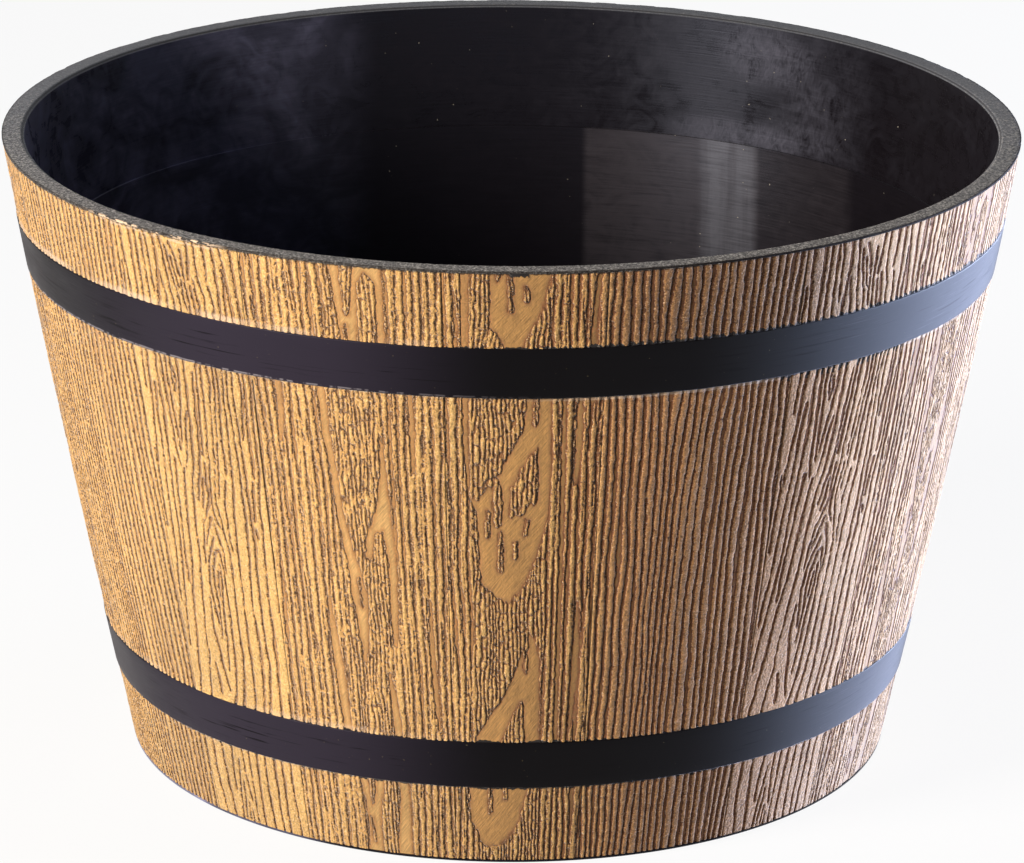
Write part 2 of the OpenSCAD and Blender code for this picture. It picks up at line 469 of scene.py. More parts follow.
def flamed_grain(face: Face) -> np.ndarray:
    """Long ridges with smooth runnels and a band of short cuts down the middle.

    Args:
        face: the places on the board.

    Returns:
        The grain.
    """
    degrees, edge = face.x / DEGREE_MM, 0.25 * np.sin(face.v / 13)
    middle = smooth_step(9.4, 10.2, degrees + edge) * (1 - smooth_step(14.6, 15.6, degrees))
    dense = face.short_cuts(2.0, 10.0, 0.66, 0.5, 37, 0.5)
    sides = np.minimum(face.long_ridges(3.9, 0.18, 0.5, 31), face.short_cuts(2.4, 18.0, -0.1, 0.85, 52))
    return FLAMED_PLACES.lay(np.where(middle > 0.5, dense, sides), face)


KNOTTED_PLACES = SmoothPlaces(
    outlines=[
        [(5.0, -5), (5.0, 28), (6.2, 34), (6.6, 42), (8.0, 42), (9.3, 31), (10.2, 24), (10.8, 15),
         (11.4, 5), (11.8, -5)],
        [(8.9, 55), (9.0, 66), (8.7, 79), (7.9, 87), (6.6, 95), (6.1, 101), (5.3, 107), (3.7, 115),
         (2.3, 113), (3.4, 121), (3.6, 142), (3.9, 160), (5.0, 165), (6.8, 171), (8.5, 164),
         (9.3, 158), (10.2, 148), (11.0, 136), (11.8, 123), (12.0, 105), (11.9, 80), (12.0, 55)],
        [(9.6, 184), (9.4, 194), (8.3, 201), (7.7, 211), (6.5, 221), (5.2, 228), (4.3, 235),
         (3.2, 243), (2.8, 250), (11.4, 250), (11.4, 222), (11.2, 200), (10.6, 189)],
        [(2.0, 262), (2.1, 290), (3.2, 297), (4.0, 303), (5.9, 303), (7.4, 298), (9.0, 287),
         (10.0, 272), (10.2, 262)],
    ],
    strokes=[
        [(2.3, -4, .38), (2.3, 44, .38)],
        [(2.4, 60, .35), (2.3, 85, .35), (2.6, 108, .25)],
        [(15.0, 60, .3), (15.0, 80, .5), (14.9, 100, .45), (14.6, 108, .2)],
        [(13.2, 60, .3), (13.3, 100, .35), (13.4, 150, .3), (13.4, 200, .35), (13.5, 250, .3)],
        [(15.6, 170, .2), (15.7, 195, .55), (15.4, 228, .45), (15.3, 236, .2)],
        [(16.6, -4, .3), (16.2, 20, .35), (16.0, 44, .3)],
    ],
    islands=[
        [(7.2, 3, .25), (7.2, 10, .3), (7.2, 13, .15), (7.2, 20, .3)],
        [(8.9, 8, .2), (8.9, 14, .3)],
        [(5.9, -2, .3), (5.9, 4, .2)],
        [(10.1, 60, .25), (10.1, 75, .25)],
        [(10.2, 90, .2), (9.3, 99, .7), (8.8, 112, 1.4), (8.3, 122, .5)],
        [(10.2, 95, .2), (10.1, 116, .3)],
        [(7.9, 110, .4), (7.6, 123, .35)],
        [(5.7, 106, .25), (5.9, 115, .55), (5.9, 128, .35)],
        [(4.8, 122, .25), (4.7, 134, .25)],
        [(9.3, 126, .2), (9.1, 133, .25)],
        [(6.2, 134, .25), (6.2, 152, .3)],
        [(8.0, 139, .2), (8.0, 145, .3)],
        [(9.35, 180, .3), (9.35, 206, .22)],
        [(9.0, 223, .15), (8.4, 234, .8), (7.9, 246, 1.5)],
        [(4.9, 262, .25), (4.9, 283, .25)],
        [(6.9, 262, .25), (6.9, 276, .25)],
    ],
    seed=49,
)


def knotted_grain(face: Face) -> np.ndarray:
    """Dense short cuts round large smooth places, with long ridges along the right.

    Args:
        face: the places on the board.

    Returns:
        The grain.
    """
    degrees = face.x / DEGREE_MM
    middle = smooth_step(2.6, 3.4, degrees) * (1 - smooth_step(11.0, 12.0, degrees))
    dense = face.short_cuts(1.95, 9.0, 0.72, 0.4, 45, 0.55)
    sides = np.minimum(face.long_ridges(3.7, 0.18, 0.35, 41), face.short_cuts(2.4, 18.0, -0.02, 0.85, 52))
    return KNOTTED_PLACES.lay(np.where(middle > 0.5, dense, sides), face)


# ------------------------------------------------------------------------------------------- shader maths

class Link:
    """An output of a shader node. Sums on it add Math nodes to its tree."""

    def __init__(self, tree: "Tree", socket: bpy.types.NodeSocket) -> None:
        """Wraps a socket of a tree."""
        self.tree, self.socket = tree, socket

    def _sum(self, operation: str, *values: "Link | float") -> "Link":
        """Adds one Math node."""
        return self.tree.node("ShaderNodeMath", {"operation": operation}, dict(enumerate(values)))

    def __add__(self, other: "Link | float") -> "Link":
        """self + other."""
        return self._sum("ADD", self, other)

    def __sub__(self, other: "Link | float") -> "Link":
        """self - other."""
        return self._sum("SUBTRACT", self, other)

    def __rsub__(self, other: float) -> "Link":
        """other - self."""
        return self._sum("SUBTRACT", other, self)

    def __mul__(self, other: "Link | float") -> "Link":
        """self * other."""
        return self._sum("MULTIPLY", self, other)

    def __truediv__(self, other: "Link | float") -> "Link":
        """self / other."""
        return self._sum("DIVIDE", self, other)

    def __neg__(self) -> "Link":
        """-self."""
        return self._sum("MULTIPLY", self, -1.0)

    def __abs__(self) -> "Link":
        """The absolute value."""
        return self._sum("ABSOLUTE", self)

    __radd__, __rmul__ = __add__, __mul__

    def least(self, other: "Link | float") -> "Link":
        """The smaller of two values."""
        return self._sum("MINIMUM", self, other)

    def most(self, other: "Link | float") -> "Link":
        """The larger of two values."""
        return self._sum("MAXIMUM", self, other)

    def step(self, low: float, high: float) -> "Link":
        """A soft step from 0 at low to 1 at high."""
        return self.tree.node("ShaderNodeMapRange", {"interpolation_type": "SMOOTHSTEP"},
                              {"Value": self, "From Min": low, "From Max": high})

    def within(self, span: Span) -> "Link":
        """1 inside a span and 0 outside it, with soft ends."""
        rise, full, fade, end = span
        return self.step(rise, full) * (1 - self.step(fade, end))


class Tree:
    """The node tree of one material or world, with a few words for what its shaders need."""

    def __init__(self, owner: bpy.types.Material | bpy.types.World) -> None:
        """Empties the owner's tree.

        Args:
            owner: the material or world.
        """
        owner.use_nodes = True
        self.nodes, self.links = owner.node_tree.nodes, owner.node_tree.links
        self.nodes.clear()

    def node(self, kind: str, settings: dict[str, object] | None = None,
             sockets: dict[str | int, object] | None = None, output: str | int = 0) -> Link:
        """Adds any node.

        Args:
            kind: the node's type.
            settings: its own settings, set before its sockets.
            sockets: values or links of its inputs, by name or number.
            output: the output wanted, by name or number.

        Returns:
            That output.
        """
        node = self.nodes.new(kind)
        for name, value in (settings or {}).items():
            setattr(node, name, value)
        for name, value in (sockets or {}).items():
            socket = node.inputs[name]
            if isinstance(value, Link):
                self.links.new(value.socket, socket)
            elif isinstance(value, tuple) and len(value) == 3 and socket.type == "RGBA":
                socket.default_value = (*value, 1.0)
            else:
                socket.default_value = value
        return Link(self, node.outputs[output] if len(node.outputs) else None)

    def place(self) -> Link:
        """Object coordinates, in metres."""
        return self.node("ShaderNodeTexCoord", output="Object")

    def along(self, axis: str) -> Link:
        """Place along one axis of the object coordinates, in millimetres."""
        return self.node("ShaderNodeSeparateXYZ", None, {0: self.place()}, axis) * (1 / MM)

    def attribute(self, name: str) -> Link:
        """A named attribute of the mesh."""
        return self.node("ShaderNodeAttribute", {"attribute_name": name}, output="Fac")

    def noise(self, size: tuple[float, float, float], detail: float = 2.0, vector: Link | None = None,
              shift: float = 0.0, twist: float = 0.0) -> Link:
        """Noise with an average of 0, mostly between -0.3 and 0.3.

        Args:
            size: size of its lumps along X, Y and Z, in millimetres.
            detail: levels of finer lumps.
            vector: where to look it up, if not at the object coordinates.
            shift: moves the pattern, so that two of the same size differ.
            twist: how much the pattern swirls.

        Returns:
            The noise.
        """
        vector = vector or self.place()
        moved = self.node("ShaderNodeVectorMath", {"operation": "MULTIPLY_ADD"},
                          {0: vector, 1: tuple(1 / (s * MM) for s in size), 2: (shift, shift, shift)})
        return self.node("ShaderNodeTexNoise", None, {"Vector": moved, "Scale": 1.0, "Detail": detail,
                                                      "Distortion": twist}) - 0.5

    def mix(self, factor: Link | float, first: Link | Colour, second: Link | Colour) -> Link:
        """A colour between two."""
        return self.node("ShaderNodeMix", {"data_type": "RGBA"}, {0: factor, 6: first, 7: second}, 2)

    def shade(self, colour: Link, amount: Link) -> Link:
        """A colour made lighter or darker by a factor."""
        grey = self.node("ShaderNodeCombineXYZ", None, {0: amount, 1: amount, 2: amount})
        return self.node("ShaderNodeVectorMath", {"operation": "MULTIPLY"}, {0: colour, 1: grey})

    def bump(self, height: Link, distance: float, strength: float = 1.0) -> Link:
        """A bump of so many metres for each unit of height."""
        return self.node("ShaderNodeBump", None,
                         {"Height": height, "Distance": distance, "Strength": strength})

    def principled(self, sockets: dict[str | int, object]) -> None:
        """Adds the surface shader and joins it to the material's output."""
        shader = self.node("ShaderNodeBsdfPrincipled", None, sockets)
        self.node("ShaderNodeOutputMaterial", None, {"Surface": shader})


# -------------------------------------------------------------------------------------------------- form

@dataclass(frozen=True)
class BarrelForm:
    """The outer surface that the staves, the bands and the rim share, in millimetres.

    The waist is where the lower band's part gives way to the upper one's, along Z, and flaked is the part
    of the rim whose paint has flaked, along X.
    """

    rim_radius: float = 250.0
    base_radius: float = 191.0
    height: float = 312.0
    swell: float = 1.6
    band_width: float = 25.0
    band_gap: float = 0.2
    band_bottoms: tuple[float, float] = (41.8, 248.7)
    channel_depth: float = 2.2
    front_angle: float = -90.0
    waist: Point = (150.0, 160.0)
    flaked: Span = (-200.0, -186.0, -142.0, -126.0)

    def radius(self, z: np.ndarray | float) -> np.ndarray:
        """Radius of the outer surface at a height."""
        t = np.asarray(z) / self.height
        return self.base_radius + (self.rim_radius - self.base_radius) * t + 4 * self.swell * t * (1 - t)

    def channels(self) -> list[Point]:
        """Lowest and highest z of the channel of each band, from the lower one up."""
        gap = self.band_gap
        return [(low - gap, low + self.band_width + gap) for low in self.band_bottoms]


FORM = BarrelForm()


def rim_flakes(tree: Tree, x: Link) -> Link:
    """Flakes of paint left on the rim's outer edge, which the boards and the tub share.

    Args:
        tree: the material's tree.
        x: place along X in millimetres.

    Returns:
        1 on a flake and 0 off it.
    """
    return tree.noise((5.0, 5.0, 1.6), 2.0, shift=13.0).step(-0.02, 0.06) * x.within(FORM.flaked)


def object_from(mesh: bpy.types.Mesh, name: str, material: bpy.types.Material,
                node: str) -> bpy.types.Object:
    """Puts a finished mesh in the scene in place of a CAD node.

    Args:
        mesh: the finished mesh.
        name: name of the piece.
        material: its finish.
        node: the CAD node that it stands for.

    Returns:
        The piece.
    """
    mesh.name = name
    mesh.materials.clear()
    mesh.materials.append(material)
    piece = bpy.data.objects.new(name, mesh)
    bpy.context.scene.collection.objects.link(piece)
    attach(piece, "root")
    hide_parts(node)
    log.info("%s: %d faces", name, len(mesh.polygons))
    return piece


def points_of(mesh: bpy.types.Mesh) -> np.ndarray:
    """Reads the points of a mesh.

    Args:
        mesh: the mesh.

    Returns:
        A row for each point, in metres.
    """
    points = np.empty(len(mesh.vertices) * 3, np.float32)
    mesh.vertices.foreach_get("co", points)
    return points.reshape(-1, 3)


def mark(mesh: bpy.types.Mesh, name: str, values: np.ndarray) -> None:
    """Stores a value for each point of a mesh as an attribute.

    Args:
        mesh: the mesh.
        name: name of the attribute.
        values: a value for each point.
    """
    mesh.attributes.new(name, "FLOAT", "POINT").data.foreach_set("value", values.astype(np.float32))


def lathe(section: Sequence[Point], steps: int) -> bpy.types.Mesh:
    """Turns a half section once round Z.

    Args:
        section: (radius, height) points in millimetres; a closed section repeats its first point.
        steps: number of faces round.

    Returns:
        The closed mesh, with its doubles merged and its faces outwards.
    """
    shell = bmesh.new()
    corners = [shell.verts.new((r * MM, 0.0, z * MM)) for r, z in section]
    edges = [shell.edges.new(pair) for pair in zip(corners[:-1], corners[1:])]
    bmesh.ops.spin(shell, geom=corners + edges, cent=(0, 0, 0), axis=(0, 0, 1), angle=2 * math.pi,
                   steps=steps, use_merge=True)
    bmesh.ops.remove_doubles(shell, verts=shell.verts, dist=SAME_PLACE)
    bmesh.ops.recalc_face_normals(shell, faces=shell.faces)
    mesh = bpy.data.meshes.new("lathed")
    shell.to_mesh(mesh)
    shell.free()
    return mesh


def rounded(points: Sequence[Point], corner: int, radius: float, steps: int = 4) -> list[Point]:
    """Rounds one corner of a line of points.

    Args:
        points: the line.
        corner: number of the point to round.
        radius: how far back from the corner the curve starts.
        steps: number of pieces of the curve.

    Returns:
        The line with the corner's point replaced by a curve.
    """
    before, here, after = (Vector(p) for p in points[corner - 1:corner + 2])
    start = here + (before - here).normalized() * radius
    end = here + (after - here).normalized() * radius
    curve = []
    for i in range(steps + 1):
        t = i / steps
        curve.append(tuple(start * (1 - t) ** 2 + here * 2 * t * (1 - t) + end * t ** 2))
    return [*points[:corner], *curve, *points[corner + 1:]]


# ------------------------------------------------------------------------------------------------ staves

class BoardMarks:
    """What every part of the board paint reads: places, the staves' attributes, and noises."""

    EDGE: Point = (-0.3, -0.2)       # distances in mm below this one lie on the band's other side
    FAR: float = 1000.0
    BRUSH_ANGLE: float = math.radians(38)

    def __init__(self, tree: Tree) -> None:
        """Adds the nodes that are read more than once.

        Args:
            tree: the material's tree.
        """
        self.tree = tree
        self.x, self.y, self.z = (tree.along(axis) for axis in "XYZ")
        self.beads = tree.noise((1.4, 1.4, 1.8), 2.0)
        self.grit = tree.noise((0.75, 0.75, 0.8), 2.0, shift=7.3)
        self.broad = tree.noise((55.0, 55.0, 90.0), 2.0, shift=4.7)
        self.scratches = tree.noise((0.5, 9.0, 1.0), 2.0, self.brushed())
        self.calm = 1 - self.x.step(130.0, 210.0) * 0.7
        self.relief = tree.attribute("grain")
        self.grain = self.relief + (self.beads * 1.2 + self.grit * 1.3) * self.calm
        self.on_ridge = self.grain.step(-0.06, 0.22)
        self.in_smooth = (-self.grain).step(0.7, 2.6)
        # The crevices' dark is partly their own dark paint and partly painted shadow: it is strongest on the ridges'
        # right walls, where the lee is above 0, and stronger at the left of the barrel.
        lee = 0.4 + tree.attribute("lee").step(-0.3, 0.5) * 0.6 + (1 - self.x.step(-60.0, 40.0)) * 0.3
        self.crevice = self.grain.within((-0.5, -0.25, -0.12, 0.1)) * lee.least(1.0)
        self.upper = self.z.step(*FORM.waist)
        (low_a, high_a), (low_b, high_b) = FORM.channels()
        self.above = self.past(self.z - high_a).least(self.past(self.z - high_b))
        self.below = self.past(low_a - self.z).least(self.past(low_b - self.z))

    def past(self, distance: Link) -> Link:
        """A distance from a band's edge, in millimetres, made large on the edge's other side."""
        return distance + (1 - distance.step(*self.EDGE)) * self.FAR

    def brushed(self) -> Link:
        """Turns the board's own coordinates to the slant of the smooth places' brush marks.

        Returns:
            Places across and along the marks, in metres.
        """
        across, up = self.tree.attribute("across") * MM, self.z * MM
        lean, rise = math.sin(self.BRUSH_ANGLE), math.cos(self.BRUSH_ANGLE)
        return self.tree.node("ShaderNodeCombineXYZ", None,
                              {0: across * rise - up * lean, 1: across * lean + up * rise, 2: 0.0})


@dataclass(frozen=True)
class BoardPaint:
    """The tan finish of the staves: golden ridges, red-brown furrows and near-black crevices.

    A turn is the pair of places, in millimetres, between which one tone gives way to the next. Turns and
    spans lie along X, but for the foot's and the top's, which lie along Z, and the rear's, along Y. Most of
    these tones are painted light and shade: the left is lighter, the ridges and furrows are darker from the
    middle on and the ridges paler and cooler at the right, the top from the middle on and the rear right are
    darker, and the crevices are warmer at the left. The foot is darker towards the bottom, and the notched
    span and the chip place mark where the black shows.
    """

    name: str
    ridge: Colour = paint(226, 184, 118)
    # ridge_right, ridge_mid and furrow_right: painted light and shade, paler and cooler ridges at the right and darker
    # ridges and furrows from the middle on
    ridge_right: Colour = paint(234, 191, 140)
    ridge_mid: Colour = paint(211, 157, 104)
    # ridge_side: the ridges' flanks, painted shade of their rounded sides
    ridge_side: Colour = paint(206, 158, 96)
    furrow: Colour = paint(190, 140, 86)
    furrow_right: Colour = paint(170, 110, 71)
    smooth: Colour = paint(208, 167, 110)
    smooth_edge: Colour = paint(182, 137, 88)
    # crevice: dark paint in the crevices, with painted shadow where it is strongest on the ridges' right walls;
    # crevice_left: its warmer tone at the left, painted light
    crevice: Colour = paint(52, 31, 19)
    crevice_left: Colour = paint(78, 45, 20)
    # the glints' colour: painted highlights on the ridges' grit
    wear_and_glint: Colour = paint(250, 230, 200)
    # pale: flakes of paint on the rim, a painted highlight above the bands at the left, and the lip under the upper
    # band, pale paint with a painted highlight
    pale: Colour = paint(236, 206, 178)
    bled: Colour = paint(24, 22, 26)
    furrow_turn: Point = (-80.0, 60.0)
    crevice_turn: Point = (-120.0, 0.0)
    middle_turn: Point = (20.0, 60.0)
    right_turn: Point = (110.0, 200.0)
    left_turn: Point = (-178.0, -160.0)
    foot_turn: Point = (32.0, 46.0)
    top_turn: Point = (268.0, 278.0)
    rear_turn: Point = (-70.0, 20.0)
    shaded_span: Span = (20.0, 70.0, 110.0, 180.0)
    lifted_span: Span = (-130.0, -100.0, -40.0, 10.0)
    dimmed_span: Span = (30.0, 60.0, 140.0, 190.0)
    notched_span: Span = (120.0, 128.0, 180.0, 188.0)
    chip_place: float = 4.0
    roughness: float = 0.6
    sheen: float = 1.0
    sheen_tint: Colour = (1.0, 0.94, 0.91)

    def build(self) -> bpy.types.Material:
        """Makes the material.

        Returns:
            The material, which reads the staves' grain, lee, joint and across attributes.
        """
        material = bpy.data.materials.new(self.name)
        at = BoardMarks(Tree(material))
        colour = self.pale_edges(at, self.shaded(at, self.wood(at)))
        colour = at.tree.mix(self.dark_edges(at), colour, self.bled)
        relief = at.on_ridge * (0.5 + (at.beads * 1.6 + at.grit * 0.7) * at.calm) - at.crevice * 0.6
        relief = relief + at.in_smooth * (at.scratches * 0.4 + at.beads * 0.5 + at.grit * 0.3)
        wear_and_glint = at.in_smooth * (at.scratches * 0.6 + 0.25)
        at.tree.principled({
            "Base Color": colour,
            "Roughness": self.roughness + at.grit * 0.5 + wear_and_glint + at.crevice * 0.2,
            "Specular IOR Level": 0.16,
            "Sheen Weight": self.sheen,
            "Sheen Roughness": 0.45,
            "Sheen Tint": self.sheen_tint,
            "Normal": at.tree.bump(relief, 0.4 * MM, 1.0),
        })
        return material

    def wood(self, at: BoardMarks) -> Link:
        """Furrows and smooth places, with ridges and crevices over them, and painted light and shade across the barrel.

        Args:
            at: what the paint reads.

        Returns:
            The colour of the wood, with its painted light and shade.
        """
        tree, x = at.tree, at.x
        # painted shade: the furrows turn darker and redder towards the right
        furrow = tree.mix(x.step(*self.furrow_turn), self.furrow, self.furrow_right)
        ground = tree.mix((-at.grain).step(0.4, 1.0), furrow, self.smooth_edge)
        # painted shade: the smooth places keep less of their golden tone at the right
        ground = tree.mix(at.in_smooth * (1 - x.step(*self.right_turn) * 0.6), ground, self.smooth)
        crown = (at.relief + at.beads * 1.4).step(0.15, 0.95)
        # painted shade: the ridges' flanks are darker than their tops
        ridge = tree.mix(crown, self.ridge_side, self.ridge)
        # painted light and shade: the ridges darker from the middle on, paler and cooler at the right, and a little
        # darker over the shaded span
        ridge = tree.mix(x.step(*self.middle_turn), ridge, self.ridge_mid)
        ridge = tree.mix(x.step(*self.right_turn), ridge, self.ridge_right)
        ridge = tree.shade(ridge, 1 - x.within(self.shaded_span) * 0.1)
        # painted light: the crevices are warmer at the left
        deep = tree.mix(x.step(*self.crevice_turn), self.crevice_left, self.crevice)
        return tree.mix(at.crevice * 0.9, tree.mix(at.on_ridge, ground, ridge), deep)

    def shaded(self, at: BoardMarks, colour: Link) -> Link:
        """Streaks, sand, scratches, dark upright lines, painted glints of highlight and dark pits.

        Args:
            at: what the paint reads.
            colour: the wood's colour.

        Returns:
            The colour with its shades: painted light makes the left lighter, painted shade makes the top from the
                middle on and the rear right darker, and the foot is darker towards the bottom.
        """
        tree, x = at.tree, at.x
        streaks = tree.noise((5.0, 5.0, 60.0), 3.0, shift=2.1)
        sand = (at.beads * 0.9 + at.grit * 1.4) * at.calm * (1 - at.in_smooth * 0.75)
        lines = tree.noise((1.0, 1.0, 22.0), 2.0, shift=5.9).step(0.02, 0.14) * x.step(*self.right_turn)
        # painted light: the left of the barrel is lighter
        painted_light_left = x.within(self.lifted_span) * 0.15 + (1 - x.step(*self.left_turn)) * 0.1
        foot = 1 - at.z.step(*self.foot_turn)
        # painted shade: darker near the top from the middle on, and at the rear right
        top = x.within(self.dimmed_span) * at.z.step(*self.top_turn)
        rear = x.step(60.0, 200.0) * at.y.step(*self.rear_turn)
        colour = tree.shade(colour, 1.0 + streaks * 0.5 + at.broad * 0.35 + sand
                            + at.scratches * at.in_smooth * 1.5 - lines * 0.3 + painted_light_left
                            - foot * 0.12 - top * 0.28 - rear * 0.36)
        # glints: painted highlights on the ridges' grit
        glints, pits = at.grit.step(0.1, 0.24), (-at.grit).step(0.13, 0.27)
        colour = tree.mix(glints * at.on_ridge * at.calm * 0.75, colour, self.wear_and_glint)
        return tree.mix(pits * at.on_ridge * at.calm * 0.65, colour, self.crevice)

    def pale_edges(self, at: BoardMarks, colour: Link) -> Link:
        """A painted highlight over the bands at the left, flakes at the rim, and a pale lip under the upper band,
        partly a painted highlight.

        Args:
            at: what the paint reads.
            colour: the colour under them.

        Returns:
            The colour with its pale edges.
        """
        tree, x = at.tree, at.x
        # painted highlight: a pale strip just above the bands at the left
        painted_highlight_above_bands = (1 - (at.above + at.beads * 2.0).step(1.6, 3.6)) * (1 - x.step(-60.0, 0.0))
        patches = (0.5 + at.broad * 3.0).step(0.1, 0.8)
        colour = tree.mix(painted_highlight_above_bands * (0.4 + at.upper * 0.5) * patches, colour, self.pale)
        flakes = rim_flakes(tree, x) * at.z.step(308.4, 309.4)
        colour = tree.mix(flakes * 0.8, colour, self.pale)
        # the lip under the upper band: pale paint, with a painted highlight of the lit ledge
        lip = (1 - (at.below + at.beads * 1.2).step(1.0, 1.6)) * x.step(-10.0, 60.0) * at.upper
        return tree.mix(lip * (1 - self.notches(at)) * 0.95, colour, self.pale)

    def dark_edges(self, at: BoardMarks) -> Link:
        """Where the black shows: beside the bands, along the rim, at one chip, and in the joints.

        Args:
            at: what the paint reads.

        Returns:
            How much of the black shows.
        """
        tree, x = at.tree, at.x
        left, right = 1 - x.step(-110.0, -10.0), x.step(-10.0, 60.0)
        notched = self.notches(at)
        teeth = tree.noise((2.6, 2.6, 400.0), 1.0, shift=3.3) * 2.6
        rough = at.grain.most(-0.9) * 0.7 + at.beads * 1.6 - teeth
        over = at.above + (left * 2.0 - right * 1.1) * at.upper + rough
        under = at.below + x.step(-190.0, -120.0) * at.upper * 2.0 + rough
        under = under - notched * (5.0 - at.on_ridge * 2.4)
        bleed = 1 - over.least(under).step(0.0, 0.35)
        bleed = bleed * (1 - (at.above.least(at.below) - notched * 1.4).step(1.8, 2.6))
        to_rim = (FORM.height - 1.2) - at.z
        chipped = 1 - (to_rim + at.beads * 2.5).step(0.15, 0.8)
        chipped = chipped * (0.8 - x.step(60.0, 160.0) * 0.65)
        chip = 1 - abs(x - self.chip_place).step(4.0, 5.5)
        chip = chip * (1 - (to_rim + at.beads * 3.0).step(1.2, 2.0))
        crack = 1 - (tree.attribute("joint") + at.beads * 0.6).step(0.05, 0.32)
        return bleed.most(chipped).most(chip).most(crack * 0.6)

    def notches(self, at: BoardMarks) -> Link:
        """The part of the upper band's lower edge where the furrows run dark."""
        return at.x.within(self.notched_span) * at.upper


@dataclass
class Stave:
    """One stave: a closed board with its grain in relief, its bevels, and a channel for each band."""

    number: int
    start: float
    angle: float
    grain: Grain
    thickness: float = 4.0
    joint_gap: float = 0.004
    top: float = 310.8
    bottom: float = 1.2
    end_slope: float = 1.524
    column_width: float = 0.47
    least_columns: int = 160
    row_height: float = 1.0
    channel_step: float = 0.04
    furrow_depth: float = 0.5
    crown_height: float = 0.2
    crevice_depth: float = 0.3
    wall: Point = (-0.28, 0.22)
    crown: Point = (0.0, 1.0)
    lee_wall: Point = (-0.3, 0.5)
    wall_grit: float = 0.24
    lee_columns: int = 2
    bevel_depth: float = 0.3
    bevel_width: float = 0.7
    flare: float = 0.42
    flare_height: float = 3.4
    lip: float = 0.3
    lip_height: float = 1.4
    uneven_length: float = 14.0
    back_columns: int = 4
    sharp_angle: float = math.radians(80)
    flare_seed: int = 60
    grit_seed: int = 90

    def heights(self) -> np.ndarray:
        """Works out the rows, which are close together where the board shows.

        Returns:
            Their heights in mm, from the top down.
        """
        stops = [self.top]
        for low, high in reversed(FORM.channels()):
            stops += [high, high - self.channel_step, low + self.channel_step, low]
        stops.append(self.bottom)
        rows = []
        for i, (high, low) in enumerate(zip(stops[:-1], stops[1:])):
            in_channel = i % 4 > 0
            count = 1 if in_channel else max(1, round((high - low) / self.row_height))
            rows += list(np.linspace(high, low, count, endpoint=False))
        return np.array([*rows, self.bottom])

    def surface(self, across: np.ndarray, z: np.ndarray) -> tuple[np.ndarray, dict[str, np.ndarray]]:
        """Works out the front.

        Args:
            across: places of the columns from the left joint, 0 to 1.
            z: heights of the rows in mm.

        Returns:
            How far out each point stands from the plain surface, in mm, and the values that its paint
            reads: the grain, the distance from the nearest joint, and the lee, which is above 0 on a
            ridge's right wall.
        """
        depths = tuple(float(depth) for depth in FORM.height - z)
        x, grain = laid_grain(self.grain, self.angle * DEGREE_MM, len(across), depths)
        grit = ValueNoise(self.grit_seed + self.number)(x / 0.9, np.array(depths)[:, None] / 1.6)
        grain = grain + self.wall_grit * grit * smooth_step(-1.2, -0.7, grain)
        lee = np.roll(grain, self.lee_columns, 1) - np.roll(grain, -self.lee_columns, 1)
        ridge = smooth_step(*self.wall, grain)
        crevice = smooth_step(-0.7, -0.3, grain) * (1 - smooth_step(-0.2, 0.1, grain))
        out = -self.furrow_depth * (1 - ridge)
        out = out - self.crevice_depth * crevice * (0.3 + 0.7 * smooth_step(*self.lee_wall, lee))
        out = out - self.crown_height * (1 - smooth_step(*self.crown, grain)) * ridge
        joint = np.minimum(x, self.angle * DEGREE_MM - x)
        out = out - self.bevel_depth * (1 - smooth_step(0.0, self.bevel_width, joint))
        return out + self.flares(x, z), {"grain": grain, "joint": joint, "lee": lee}

    def flares(self, x: np.ndarray, z: np.ndarray) -> np.ndarray:
        """How far the board flares out above a band, and a little below it.

        Args:
            x: distance across in mm, a row for each height.
            z: heights of the rows in mm.

        Returns:
            The flare at each point in mm.
        """
        uneven = ValueNoise(self.flare_seed + self.number)(x / self.uneven_length, np.zeros_like(x))
        lip = self.lip * smooth_step(-0.5, 0.7, uneven)
        out = np.zeros_like(x)
        for low, high in FORM.channels():
            up, down = (z - high)[:, None], (low - z)[:, None]
            rise = np.clip(1 - up / self.flare_height, 0, 1) ** 2 * (up > -0.01)
            drop = np.clip(1 - down / self.lip_height, 0, 1) * (down > -0.01)
            out = out + rise * self.flare * (0.75 + 0.35 * uneven) + drop * lip
        return out

    def build(self, material: bpy.types.Material, slot: str) -> bpy.types.Object:
        """Builds the board.

        Args:
            material: its paint.
            slot: the record's material slot; not used.

        Returns:
            The piece.
        """
        z = self.heights()
        front = max(self.least_columns, round(self.angle * DEGREE_MM / self.column_width)) + 1
        across = np.linspace(0.0, 1.0, front)
        back = np.linspace(1.0, 0.0, self.back_columns + 1)
        out, seen = self.surface(across, z)
        channel = np.zeros(len(z), bool)
        for low, high in FORM.channels():
            channel |= (z > low) & (z < high)
        out[channel] = -FORM.channel_depth
        ring = np.concatenate([across, back, across[:1]])
        filler = np.zeros((len(z), len(back)))
        depth = np.hstack([out, filler - self.thickness, out[:, :1]])
        back_z = self.bottom + self.end_slope
        back_z = back_z + (z - self.bottom) / (self.top - self.bottom) * (self.top - self.end_slope - back_z)
        height = np.hstack([np.repeat(z[:, None], front, 1), np.repeat(back_z[:, None], len(back), 1),
                            z[:, None]])
        turn = math.radians(self.joint_gap / 2) + ring * math.radians(self.angle - self.joint_gap)
        turn = turn + math.radians(self.start)
        radius = FORM.radius(height) + depth
        points = np.stack([radius * np.cos(turn), radius * np.sin(turn), height], axis=-1) * MM
        values = {name: np.hstack([value, filler, value[:, :1]]) for name, value in seen.items()}
        values["across"] = np.repeat((self.start + ring * self.angle)[None, :] * DEGREE_MM, len(z), 0)
        return self.skin(points, values, material)

